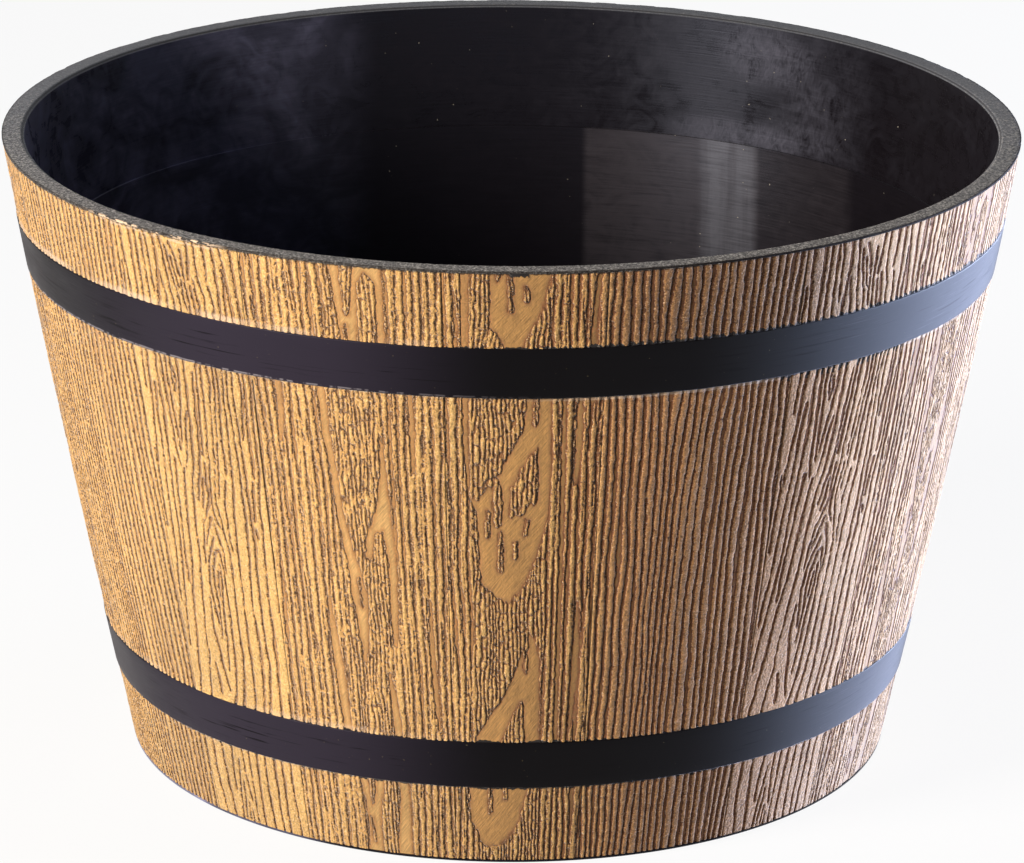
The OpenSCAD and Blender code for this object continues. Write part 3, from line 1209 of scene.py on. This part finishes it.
    def skin(self, points: np.ndarray, values: dict[str, np.ndarray], material: bpy.types.Material) -> bpy.types.Object:
        """Covers rings of points with faces and closes the ends.

        Args:
            points: rows of points, each one a ring whose last point is its first.
            values: values of the points' attributes, in the same rows.
            material: the paint.

        Returns:
            The piece.
        """
        rows, columns = points.shape[:2]
        board = bmesh.new()
        bmesh.ops.create_grid(board, x_segments=columns - 1, y_segments=rows - 1, size=1.0)
        mesh = bpy.data.meshes.new("board")
        board.to_mesh(mesh)
        spots = np.rint((points_of(mesh)[:, :2] + 1) / 2 * (columns - 1, rows - 1)).astype(int)
        column, row = spots[:, 0], spots[:, 1]
        mesh.vertices.foreach_set("co", points[row, column].astype(np.float32).ravel())
        for name, value in values.items():
            mark(mesh, name, value[row, column])
        board.clear()
        board.from_mesh(mesh)
        edge = list(dict.fromkeys(v for e in board.edges if e.is_boundary for v in e.verts))
        bmesh.ops.remove_doubles(board, verts=edge, dist=SAME_PLACE)
        bmesh.ops.holes_fill(board, edges=[e for e in board.edges if e.is_boundary], sides=0)
        bmesh.ops.recalc_face_normals(board, faces=board.faces)
        for face in board.faces:
            face.smooth = len(face.verts) == 4
        board.to_mesh(mesh)
        board.free()
        mesh.set_sharp_from_angle(angle=self.sharp_angle)
        name = f"stave_{self.number:02d}"
        return object_from(mesh, f"{name}_grained", material, name)


@dataclass
class Boards:
    """The ring of staves: nine pairs of a wide and a narrow one.

    The order has a letter for each stave's pattern, A to D as they come in Grain.
    """

    pairs: int = 9
    first_joint: float = 10.3
    wide_share: float = 0.563
    order: str = "ABCDABCDABABCDABCD"
    narrow_smooth: Colour = paint(206, 158, 98)

    def build(self) -> list[bpy.types.Object]:
        """Builds and paints every stave.

        Returns:
            The pieces.
        """
        patterns = dict(zip("ABCD", Grain))
        pair = 360 / self.pairs
        paints = {"stave_wide": BoardPaint("wide_board_paint").build(),
                  "stave_narrow": BoardPaint("narrow_board_paint", smooth=self.narrow_smooth).build()}
        pieces = []
        for i, letter in enumerate(self.order):
            start = FORM.front_angle + self.first_joint + pair * (i // 2)
            wide = i % 2 == 0
            width = pair * (self.wide_share if wide else 1 - self.wide_share)
            stave = Stave(i + 1, start + (0.0 if wide else pair * self.wide_share), width, patterns[letter])
            slot = "stave_wide" if wide else "stave_narrow"
            pieces.append(stave.build(paints[slot], slot))
        return pieces


# ------------------------------------------------------------------------------------------------- bands

@dataclass(frozen=True)
class BandPlastic:
    """The bands' smooth black: fine scratches round the barrel, dull streaks, a few specks and painted light.

    A turn is the pair of places, in millimetres, between which one tone gives way to the next. Turns and
    the purple light's span lie along X, but for the rear's turn, which lies along Y. The purple over the left
    is painted light; the pale sheen at the right is painted on and kept off the rear; the pale dashes along
    the upper band's lower edge at the left are a painted highlight.
    """

    name: str = "black_band"
    black: Colour = paint(6, 4, 7)
    dull: Colour = paint(4, 3, 4)
    speck: Colour = paint(150, 140, 110)
    # pale scratches at the right, and a painted highlight along the upper band's lower edge at the left
    pale_scratch_and_highlight: Colour = paint(150, 146, 156)
    # a pale sheen painted on the right, and a purple light painted over the left
    painted_sheen: Colour = paint(97, 100, 106)
    purple: Colour = paint(47, 43, 57)
    purple_light_span: Span = (-230.0, -130.0, -90.0, 0.0)
    painted_sheen_turn: Point = (80.0, 210.0)
    rear_turn: Point = (-70.0, 10.0)
    hairs_turn: Point = (120.0, 190.0)
    edge_highlight_turn: Point = (-110.0, 30.0)
    edge_highlight_lane: float = -0.93
    roughness: float = 0.46
    sheen: float = 0.52
    sheen_tint: Colour = (0.93, 0.9, 1.0)

    def build(self) -> bpy.types.Material:
        """Makes the material.

        Returns:
            The material, which reads the band's around and lane attributes.
        """
        material = bpy.data.materials.new(self.name)
        tree = Tree(material)
        x, y, z = (tree.along(axis) for axis in "XYZ")
        lane = tree.attribute("lane")
        along = tree.node("ShaderNodeCombineXYZ", None,
                          {0: tree.attribute("around") * MM, 1: z * MM, 2: 0.0})
        fine = tree.noise((14.0, 0.35, 1.0), 3.0, along)
        long = tree.noise((38.0, 1.3, 1.0), 2.0, along, 5.0)
        blotch = tree.noise((60.0, 30.0, 1.0), 2.0, along, 9.0)
        streak = (long + blotch * 0.5).step(0.1, 0.24) * (1 - abs(lane).step(0.25, 0.8))
        dots = tree.noise((0.9, 0.9, 0.9), 0.0, shift=3.0).step(0.37, 0.41)
        grit = tree.noise((0.5, 0.5, 0.5), 2.0)
        hairs = tree.noise((26.0, 0.5, 1.0), 2.0, along, 17.0).step(0.1, 0.2)
        hairs = hairs * (blotch + 0.15).step(0.0, 0.3) * x.step(*self.hairs_turn)
        dashes = tree.noise((3.2, 30.0, 1.0), 2.0, along, 12.0)
        # painted highlight: pale dashes along the upper band's lower edge, at the left
        edge_highlight = (1 - abs(lane - self.edge_highlight_lane).step(0.015, 0.045)) * (dashes + 0.08).step(0.0, 0.12)
        edge_highlight = edge_highlight * (1 - x.step(*self.edge_highlight_turn)) * z.step(*FORM.waist)

        # painted light: a purple tone over the left, and a pale sheen painted on the right, kept off the rear
        colour = tree.mix(x.within(self.purple_light_span), self.black, self.purple)
        colour = tree.mix(x.step(*self.painted_sheen_turn) * (1 - y.step(*self.rear_turn) * 0.9), colour, self.painted_sheen)
        colour = tree.mix(streak * (0.9 - x.step(-60.0, 60.0) * 0.55), colour, self.dull)
        colour = tree.mix(hairs * 0.4, colour, self.pale_scratch_and_highlight)
        colour = tree.mix(dots * 0.6, colour, self.speck)
        colour = tree.mix(edge_highlight * 0.75, colour, self.pale_scratch_and_highlight)
        tree.principled({
            "Base Color": colour,
            "Roughness": self.roughness + fine * 0.45 + blotch * 0.3 + streak * 0.15,
            "Specular IOR Level": 0.07,
            "Sheen Weight": self.sheen,
            "Sheen Roughness": 0.32,
            "Sheen Tint": self.sheen_tint,
            "Normal": tree.bump(fine * 0.6 + grit * 0.35 + long * 0.6, 0.05 * MM, 0.8),
        })
        return material


@dataclass
class Band:
    """An endless band with rounded edges, set in the staves' channels."""

    node: str
    bottom: float
    thickness: float = 2.4
    proud: float = 0.4
    edge: float = 0.7
    edge_wave: float = 0.16
    wave_angle: float = 0.8
    steps: int = 900
    rows: int = 6
    sharp_angle: float = math.radians(60)
    seed: int = 71

    def build(self, material: bpy.types.Material) -> bpy.types.Object:
        """Builds the band.

        Args:
            material: its finish.

        Returns:
            The piece.
        """
        low, high = self.bottom, self.bottom + FORM.band_width
        face = [(float(FORM.radius(z)) + self.proud, z) for z in np.linspace(low, high, self.rows)]
        inset = self.thickness - self.proud
        back = [(float(FORM.radius(high)) - inset, high), (float(FORM.radius(low)) - inset, low)]
        section = [back[1], *face, back[0]]
        section = rounded(section, len(face), self.edge)
        section = rounded(section, 1, self.edge)
        mesh = lathe([*section, section[0]], self.steps)
        self.wave(mesh)
        mesh.shade_smooth()
        mesh.set_sharp_from_angle(angle=self.sharp_angle)
        return object_from(mesh, f"{self.node}_dressed", material, self.node)

    def wave(self, mesh: bpy.types.Mesh) -> None:
        """Makes the edges a little uneven, and marks each point's place round and across the band.

        Args:
            mesh: the band's mesh, which is changed.
        """
        points = points_of(mesh)
        angle = np.degrees(np.arctan2(points[:, 1], points[:, 0])) + 90
        lane = (points[:, 2] / MM - self.bottom) / FORM.band_width * 2 - 1
        noise = ValueNoise(self.seed)
        waves = noise(angle / self.wave_angle, np.sign(lane) + 5.0)
        points[:, 2] += self.edge_wave * MM * lane ** 3 * waves
        mesh.vertices.foreach_set("co", points.ravel())
        mark(mesh, "around", angle * DEGREE_MM)
        mark(mesh, "lane", lane)


# --------------------------------------------------------------------------------------------------- tub

class TubMarks:
    """What the tub's inside and its cut rim both read: places, the rim's outer edge, and noises."""

    def __init__(self, tree: Tree, ledge_z: float) -> None:
        """Adds the nodes that are read more than once.

        Args:
            tree: the material's tree.
            ledge_z: height of the ledge inside, in millimetres.
        """
        self.tree = tree
        self.x, self.y, self.z = (tree.along(axis) for axis in "XYZ")
        self.on_rim = self.z.step(FORM.height - 1.7, FORM.height - 1.1)
        self.upper = self.z.step(ledge_z - 0.6, ledge_z + 0.6)
        self.far_side = self.y.step(0.0, 40.0)
        self.edge = tree.attribute("edge")
        self.speckle = tree.noise((1.1, 1.1, 1.1), 2.0)
        self.fine = tree.noise((0.7, 0.7, 0.7), 2.0, shift=2.0)
        self.cloud = tree.noise((60.0, 60.0, 40.0), 3.0, shift=11.4, twist=1.5)
        self.wisp = tree.noise((17.0, 17.0, 13.0), 5.0, shift=6.2, twist=1.8)
        self.around = tree.noise((26.0, 26.0, 0.8), 3.0, shift=1.7)


@dataclass(frozen=True)
class TubRubber:
    """The tub's black: a speckled grey cut rim, a glossy inside with hazy chalk and painted light, and a dull foot.

    Each spot of hazy chalk has its middle along X and Z, its half width and half height, in millimetres, and
    its strength; the chalk is drawn on the far wall where the key lamp lights it, so its brightness is partly
    painted light. A turn is the pair of places, in millimetres, between which one tone gives way to the next.
    Turns and spans lie along X, but for the dark line's, which lies along Z, and the rim's, along Y. The pool,
    the gleam and the blue at the left are painted light, and the rim's cooler, darker back is painted light
    and shade.
    """

    name: str = "tub_rubber"
    black: Colour = paint(18, 15, 19)
    rim: Colour = paint(112, 110, 110)
    # rim_cool: the cut's cooler tone towards the back, painted light of the cool lamps
    rim_cool: Colour = paint(114, 118, 128)
    rim_speck: Colour = paint(196, 195, 196)
    rim_pit: Colour = paint(44, 43, 45)
    edge_shadow: Colour = paint(34, 28, 24)
    flake: Colour = paint(240, 214, 188)
    # the chalk's colour, partly painted light of the key lamp on the far wall
    lit_chalky_haze: Colour = paint(86, 86, 100)
    # a painted reflection of the cool lamps over the left of the inside
    painted_blue_reflection: Colour = paint(140, 142, 178)
    # lit and gleam: a painted pool of light below the ledge and a painted reflection down it
    lit: Colour = paint(48, 45, 50)
    gleam: Colour = paint(80, 81, 90)
    dust: Colour = paint(170, 165, 155)
    gloss_tint: Colour = (0.65, 0.73, 1.0)
    ledge_z: float = 248.0
    dark_line_span: Span = (310.95, 311.1, 311.5, 311.7)
    gleam_span: Span = (98.0, 106.0, 126.0, 132.0)
    blue_reflection_turn: Point = (-150.0, -70.0)
    rim_turn: Point = (-220.0, 60.0)
    spots: Sequence[tuple[float, float, float, float, float]] = (
        (134.0, 296.0, 24.0, 17.0, 0.6),
        (166.0, 288.0, 20.0, 24.0, 0.14),
        (158.0, 270.0, 18.0, 18.0, 0.2),
        (152.0, 254.0, 26.0, 11.0, 0.24),
        (118.0, 253.0, 32.0, 8.0, 0.5),
    )

    def build(self) -> bpy.types.Material:
        """Makes the material.

        Returns:
            The material, which reads the tub's edge attribute.
        """
        material = bpy.data.materials.new(self.name)
        at = TubMarks(Tree(material), self.ledge_z)
        swirl = self.swirl(at)
        gloss = 0.32 + swirl * 0.1 + at.on_rim * 0.3 + at.edge * 0.3 + at.around * 0.1 + at.fine * 0.1
        relief = at.speckle * at.on_rim * 1.2 + at.fine * (0.03 + at.on_rim)
        at.tree.principled({
            "Base Color": at.tree.mix(at.on_rim, self.inside(at, swirl), self.cut(at)),
            "Roughness": gloss + (at.wisp * 0.4 + at.cloud * 0.25) * at.upper * (1 - at.on_rim),
            "Specular IOR Level": 0.17,
            "Specular Tint": self.gloss_tint,
            "Normal": at.tree.bump(relief + at.around * (1 - at.on_rim) * 0.3, 0.12 * MM, 0.8),
        })
        return material

    def swirl(self, at: TubMarks) -> Link:
        """The hazy chalk on the far wall, above the ledge, drawn where the key lamp lights that wall, so its brightness
        is partly painted light.

        Args:
            at: what the finish reads.

        Returns:
            How strong the hazy chalk is.
        """
        fibre = at.tree.noise((3.4, 3.4, 8.0), 4.0, shift=15.3, twist=2.2)
        drift = 0.01 + (at.cloud * 1.2 + at.wisp * 0.4).step(-0.2, 0.4) * 0.1
        drift = drift * at.x.step(10.0, 90.0) * (1 - at.x.step(165.0, 215.0) * 0.7)
        for x, z, half_width, half_height, strength in self.spots:
            over, up = (at.x - x) / half_width, (at.z - z) / half_height
            drift = drift + (1 - (over * over + up * up + at.wisp * 1.5).step(0.0, 1.6)) * strength
        threads = (0.9 + fibre * 2.3 + at.wisp * 2.4 + at.around * 0.3).most(0.0)
        return drift * threads * at.upper * at.far_side

    def inside(self, at: TubMarks, swirl: Link) -> Link:
        """The wall and the floor: a painted blue reflection at the left, the hazy chalk, a painted pool of light with a
        painted reflection down it, and dust.

        Args:
            at: what the finish reads.
            swirl: the hazy chalk.

        Returns:
            Their colour.
        """
        tree, x = at.tree, at.x
        # painted reflection: a blue sheen over the left of the inside
        blue_reflection = 0.45 + (at.cloud * 1.3 + at.wisp * 0.3 + 0.2).step(0.0, 0.5) * 0.9
        blue_reflection = blue_reflection * (1 - x.step(*self.blue_reflection_turn))
        # painted light: a pool of light on the far wall below the ledge, with a painted reflection (shine) down it
        lit_part = (1 - at.upper) * at.far_side
        pool = x.step(37.0, 42.0) * (1 - x.step(128.0, 133.0) * 0.6) * (1 - x.step(172.0, 180.0))
        pool = pool * lit_part * (1.0 + at.around * 0.9 + at.wisp * 0.9)
        upright = tree.noise((4.0, 40.0, 60.0), 3.0, shift=8.8)
        shine = x.within(self.gleam_span) * lit_part * (0.75 + upright * 1.6 + at.around * 0.9)
        dots = tree.noise((1.7, 1.7, 1.7), 0.0, shift=5.0).step(0.37, 0.42)
        colour = tree.mix(blue_reflection * 0.75, self.black, self.painted_blue_reflection)
        colour = tree.mix(swirl * 0.6, colour, self.lit_chalky_haze)
        colour = tree.mix(pool, colour, self.lit)
        colour = tree.mix(shine, colour, self.gleam)
        colour = tree.shade(colour, 1.0 + at.around * 0.5 + at.wisp * 0.5)
        return tree.mix(dots * 0.55, colour, self.dust)

    def cut(self, at: TubMarks) -> Link:
        """The cut rim: specks and pits, a fine dark line, a dark outer edge, and flakes of the boards' paint, painted
        cooler and darker towards the back.

        Args:
            at: what the finish reads.

        Returns:
            Its colour.
        """
        tree, x, y = at.tree, at.x, at.y
        # painted light and shade: the cut is a little lighter behind its front edge and turns cooler and much darker
        # towards the back, with fewer specks there
        sparkle = 1.0 - y.step(-80.0, 120.0) * 0.8
        colour = tree.mix(y.step(*self.rim_turn), self.rim, self.rim_cool)
        colour = tree.mix((at.speckle + at.fine * 0.9).step(0.04, 0.22) * sparkle, colour, self.rim_speck)
        colour = tree.mix((-at.speckle - at.fine * 0.7).step(0.04, 0.2) * sparkle, colour, self.rim_pit)
        colour = tree.shade(colour, 1.0 + y.step(-240.0, -120.0) * 0.12 - y.step(-60.0, 220.0) * 0.46)
        # the groove mask is only a fine dark line along the inner chamfer; the shape has no groove there
        groove = at.z.within(self.dark_line_span) * (1 - at.edge.step(0.1, 0.3))
        colour = tree.mix(groove * 0.8, colour, self.rim_pit)
        shadow = at.edge.step(0.6, 0.95) * (0.7 + x.step(0.0, 120.0) * 0.28)
        colour = tree.mix(shadow, colour, self.edge_shadow)
        flakes = at.edge.step(0.5, 0.8) * rim_flakes(tree, x) * (1 - y.step(-70.0, -20.0))
        return tree.mix(flakes, colour, self.flake)


@dataclass
class Tub:
    """The moulded tub: wall with its ledge, floor with drain holes, foot ring, and the cut rim."""

    wall_inset: float = 4.2
    wall: float = 6.6
    ledge_z: float = 248.0
    ledge_width: float = 0.8
    ledge_slope: float = 0.1
    rim_chamfer: float = 1.4
    lip: float = 1.0
    lip_slope: float = 1.6
    floor_top: float = 14.0
    floor_under: float = 5.0
    floor_curve: float = 18.0
    floor_curve_centre: float = 167.66
    foot_radius: float = 161.0
    drain_radius: float = 8.0
    drain_circle: float = 100.0
    drain_count: int = 4
    drill_length: float = 14.0
    drill_sides: int = 64
    steps: int = 1080
    rim_rows: int = 6
    wall_lean: float = math.radians(10.7)
    floor_rings: Sequence[float] = (0.0, 60.0, 120.0, 160.0)
    curve_points: int = 9
    curve_blend: float = 12.0
    wall_rows: int = 8
    upper_rows: int = 4
    seat_rows: int = 6
    outer_round: float = 0.42
    inner_round: float = 0.5
    round_steps: int = 3
    sharp_angle: float = math.radians(35)
    seeds: tuple[int, int] = (81, 82)
    roughness: float = 0.16
    nick_depth: float = 0.15
    nick_pull: float = 0.2
    rough_pull: float = 0.14

    def section(self) -> list[Point]:
        """Works out the half section.

        Returns:
            Its points in mm, from the middle of the floor up the inside and down the outside.
        """
        inner, height = self.wall_inset + self.wall, FORM.height
        below = inner + self.ledge_width
        curve_top = self.floor_top + self.floor_curve
        curve = []
        for angle in np.linspace(-math.pi / 2, -self.wall_lean, self.curve_points):
            curve.append((self.floor_curve_centre + self.floor_curve * math.cos(angle),
                          curve_top + self.floor_curve * math.sin(angle)))
        floor = [(r, self.floor_top) for r in self.floor_rings]
        lower = np.linspace(curve_top + self.curve_blend, self.ledge_z, self.wall_rows)
        wall = [(float(FORM.radius(z)) - below, z) for z in lower]
        upper = np.linspace(self.ledge_z + self.ledge_slope, height - self.rim_chamfer, self.upper_rows)
        wall += [(float(FORM.radius(z)) - inner, z) for z in upper]
        rim_in = float(FORM.radius(height)) - inner + self.rim_chamfer
        rim = [(r, height) for r in np.linspace(rim_in, FORM.rim_radius, self.rim_rows)]
        lip_z = height - self.lip
        seat = self.wall_inset
        outside = [(float(FORM.radius(lip_z)), lip_z)]
        seats = np.linspace(lip_z - self.lip_slope, self.lip + self.lip_slope, self.seat_rows)
        outside += [(float(FORM.radius(z)) - seat, z) for z in seats]
        outside += [(float(FORM.radius(self.lip)), self.lip), (FORM.base_radius, 0.0)]
        foot = [(self.foot_radius, 0.0), (self.foot_radius, self.floor_under), (0.0, self.floor_under)]
        line = [*floor, *curve, *wall, *rim, *outside, *foot]
        outer_edge = line.index(rim[-1])
        line = rounded(line, outer_edge, self.outer_round, self.round_steps)
        return rounded(line, line.index(rim[0]), self.inner_round, self.round_steps)

    def build(self, material: bpy.types.Material) -> bpy.types.Object:
        """Builds the tub.

        Args:
            material: its finish.

        Returns:
            The piece.
        """
        mesh = lathe(self.section(), self.steps)
        self.roughen(mesh)
        mesh = self.drilled(mesh)
        mesh.shade_smooth()
        mesh.set_sharp_from_angle(angle=self.sharp_angle)
        return object_from(mesh, "tub_dressed", material, "tub")

    def roughen(self, mesh: bpy.types.Mesh) -> None:
        """Makes the cut rim and its outer edge slightly uneven, and marks the outermost part of the rim.

        Args:
            mesh: the tub's mesh, which is changed.
        """
        points = points_of(mesh)
        angle = np.degrees(np.arctan2(points[:, 1], points[:, 0])) + 180
        radius = np.hypot(points[:, 0], points[:, 1]) / MM
        z = points[:, 2] / MM
        coarse, fine = (ValueNoise(seed) for seed in self.seeds)
        on_rim = smooth_step(FORM.height - 1.3, FORM.height - 0.9, z)
        at_edge = on_rim * smooth_step(FORM.rim_radius - 2.5, FORM.rim_radius - 0.5, radius)
        rough = 0.5 + 0.5 * fine(angle / 0.34, radius / 1.5)
        nicks = smooth_step(0.35, 0.9, coarse(angle / 1.7, np.zeros_like(angle)))
        drop = self.roughness * on_rim * rough + self.nick_depth * at_edge * nicks
        pull = at_edge * (self.rough_pull * rough + self.nick_pull * nicks)
        points[:, 2] -= drop * MM
        points[:, :2] *= (1 - pull / np.maximum(radius, 1.0))[:, None]
        mesh.vertices.foreach_set("co", points.ravel())
        mark(mesh, "edge", on_rim * smooth_step(FORM.rim_radius - 1.4, FORM.rim_radius - 0.3, radius))

    def drilled(self, mesh: bpy.types.Mesh) -> bpy.types.Mesh:
        """Cuts the drain holes.

        Args:
            mesh: the whole tub.

        Returns:
            The tub with its holes.
        """
        drills = bmesh.new()
        spots = [(0.0, 0.0)]
        for i in range(self.drain_count):
            turn = 2 * math.pi * (i + 0.5) / self.drain_count
            spots.append((self.drain_circle * math.cos(turn), self.drain_circle * math.sin(turn)))
        middle = (self.floor_top + self.floor_under) / 2
        for x, y in spots:
            made = bmesh.ops.create_cone(drills, cap_ends=True, segments=self.drill_sides,
                                         radius1=self.drain_radius * MM, radius2=self.drain_radius * MM,
                                         depth=self.drill_length * MM)
            bmesh.ops.translate(drills, verts=made["verts"], vec=(x * MM, y * MM, middle * MM))
        cutter_mesh = bpy.data.meshes.new("drills")
        drills.to_mesh(cutter_mesh)
        drills.free()
        cutter = bpy.data.objects.new("drills", cutter_mesh)
        whole = bpy.data.objects.new("whole_tub", mesh)
        for thing in (cutter, whole):
            bpy.context.scene.collection.objects.link(thing)
        cut = whole.modifiers.new("drain_holes", "BOOLEAN")
        cut.operation, cut.solver, cut.object = "DIFFERENCE", "EXACT", cutter
        scene_now = bpy.context.evaluated_depsgraph_get()
        finished = bpy.data.meshes.new_from_object(whole.evaluated_get(scene_now))
        for thing in (whole, cutter):
            bpy.data.objects.remove(thing)
        return finished


# ------------------------------------------------------------------------------------------------ studio

@dataclass(frozen=True)
class SoftLight:
    """One square or oblong soft lamp."""

    name: str
    place: tuple[float, float, float]
    aim: tuple[float, float, float]
    width: float
    height: float
    power: float
    colour: Colour = (1.0, 1.0, 1.0)

    def build(self) -> None:
        """Hangs the lamp and turns it to its aim."""
        lamp = bpy.data.lights.new(self.name, "AREA")
        lamp.shape, lamp.size, lamp.size_y = "RECTANGLE", self.width, self.height
        lamp.energy, lamp.color = self.power, self.colour
        thing = bpy.data.objects.new(self.name, lamp)
        thing.location = self.place
        thing.visible_camera = False
        thing.rotation_euler = (Vector(self.aim) - Vector(self.place)).to_track_quat("-Z", "Y").to_euler()
        bpy.context.scene.collection.objects.link(thing)


@dataclass
class Studio:
    """The floor, the soft light and the camera at the photograph's viewing angle."""

    floor_size: float = 40.0
    floor_white: Colour = (0.9, 0.9, 0.9)
    floor_dull: Colour = (0.22, 0.22, 0.22)
    floor_glow: float = 0.9
    ambient: float = 0.024
    lens: float = 178.8
    sensor_width: float = 36.0
    far_clip: float = 200.0
    camera_place: tuple[float, float, float] = (0.0012, -2.4177, 0.9769)
    pitch: float = 18.849
    roll: float = 0.3836
    lights: Iterable[SoftLight] = field(default_factory=lambda: (
        SoftLight("key", (-2.54, -1.71, 1.40), (0.0, 0.0, 0.16), 1.2, 1.2, 165.0, (1.0, 0.90, 0.77)),
        SoftLight("side", (2.42, 0.75, 0.17), (0.1, 0.0, 0.15), 1.4, 0.26, 184.0, (0.63, 0.73, 1.0)),
        SoftLight("rear", (2.00, 1.68, 0.17), (0.1, 0.0, 0.15), 1.4, 0.26, 92.0, (0.63, 0.73, 1.0)),
    ))

    def build(self) -> None:
        """Builds everything that isn't the object."""
        self.aim_camera()
        self.lay_floor()
        self.light_world()
        for light in self.lights:
            light.build()
        bpy.context.scene.view_settings.view_transform = "Standard"

    def aim_camera(self) -> None:
        """Makes the camera."""
        lens = bpy.data.cameras.new("camera")
        lens.lens, lens.sensor_width, lens.sensor_fit = self.lens, self.sensor_width, "HORIZONTAL"
        lens.clip_end = self.far_clip
        camera = bpy.data.objects.new("camera", lens)
        camera.location = self.camera_place
        upright = Euler((math.radians(90 - self.pitch), 0.0, 0.0)).to_matrix()
        turned = Euler((0.0, 0.0, math.radians(self.roll))).to_matrix()
        camera.rotation_euler = (upright @ turned).to_euler()
        bpy.context.scene.collection.objects.link(camera)
        bpy.context.scene.camera = camera

    def lay_floor(self) -> None:
        """Makes the plain pale floor, which glows white to the camera but keeps the shadow."""
        plate = bmesh.new()
        bmesh.ops.create_grid(plate, x_segments=1, y_segments=1, size=self.floor_size / 2)
        mesh = bpy.data.meshes.new("floor")
        plate.to_mesh(mesh)
        plate.free()
        floor = bpy.data.objects.new("floor", mesh)
        bpy.context.scene.collection.objects.link(floor)
        material = bpy.data.materials.new("pale_floor")
        tree = Tree(material)
        dull = tree.node("ShaderNodeBsdfDiffuse", None, {"Color": self.floor_dull})
        pale = tree.node("ShaderNodeBsdfDiffuse", None, {"Color": self.floor_white})
        white = tree.node("ShaderNodeEmission", None, {"Color": (1.0, 1.0, 1.0), "Strength": 1.0})
        shadowed = tree.node("ShaderNodeMixShader", None, {0: self.floor_glow, 1: pale, 2: white})
        surface = tree.node("ShaderNodeMixShader", None, {0: self.seen(tree), 1: dull, 2: shadowed})
        tree.node("ShaderNodeOutputMaterial", None, {"Surface": surface})
        mesh.materials.append(material)

    def seen(self, tree: Tree) -> Link:
        """1 for rays from the camera, in gloss and through glass, and 0 for those that light things."""
        path = [tree.node("ShaderNodeLightPath", output=f"Is {kind} Ray")
                for kind in ("Camera", "Glossy", "Transmission")]
        return (path[0] + path[1] + path[2]).least(1.0)

    def light_world(self) -> None:
        """Makes the soft light from all round."""
        world = bpy.data.worlds.new("studio")
        bpy.context.scene.world = world
        tree = Tree(world)
        strength = self.ambient + self.seen(tree) * (1.0 - self.ambient)
        light = tree.node("ShaderNodeBackground", None, {"Color": (1.0, 1.0, 1.0), "Strength": strength})
        tree.node("ShaderNodeOutputWorld", None, {"Surface": light})


def main() -> None:
    """Builds the studio, the tub, the bands and the staves in order."""
    logging.basicConfig(level=logging.INFO, format="%(name)s: %(message)s")
    Studio().build()
    Tub().build(TubRubber().build())
    black = BandPlastic().build()
    Band("lower_band", FORM.band_bottoms[0], seed=71).build(black)
    Band("upper_band", FORM.band_bottoms[1], seed=72).build(black)
    Boards().build()


if __name__ == "__main__":
    main()
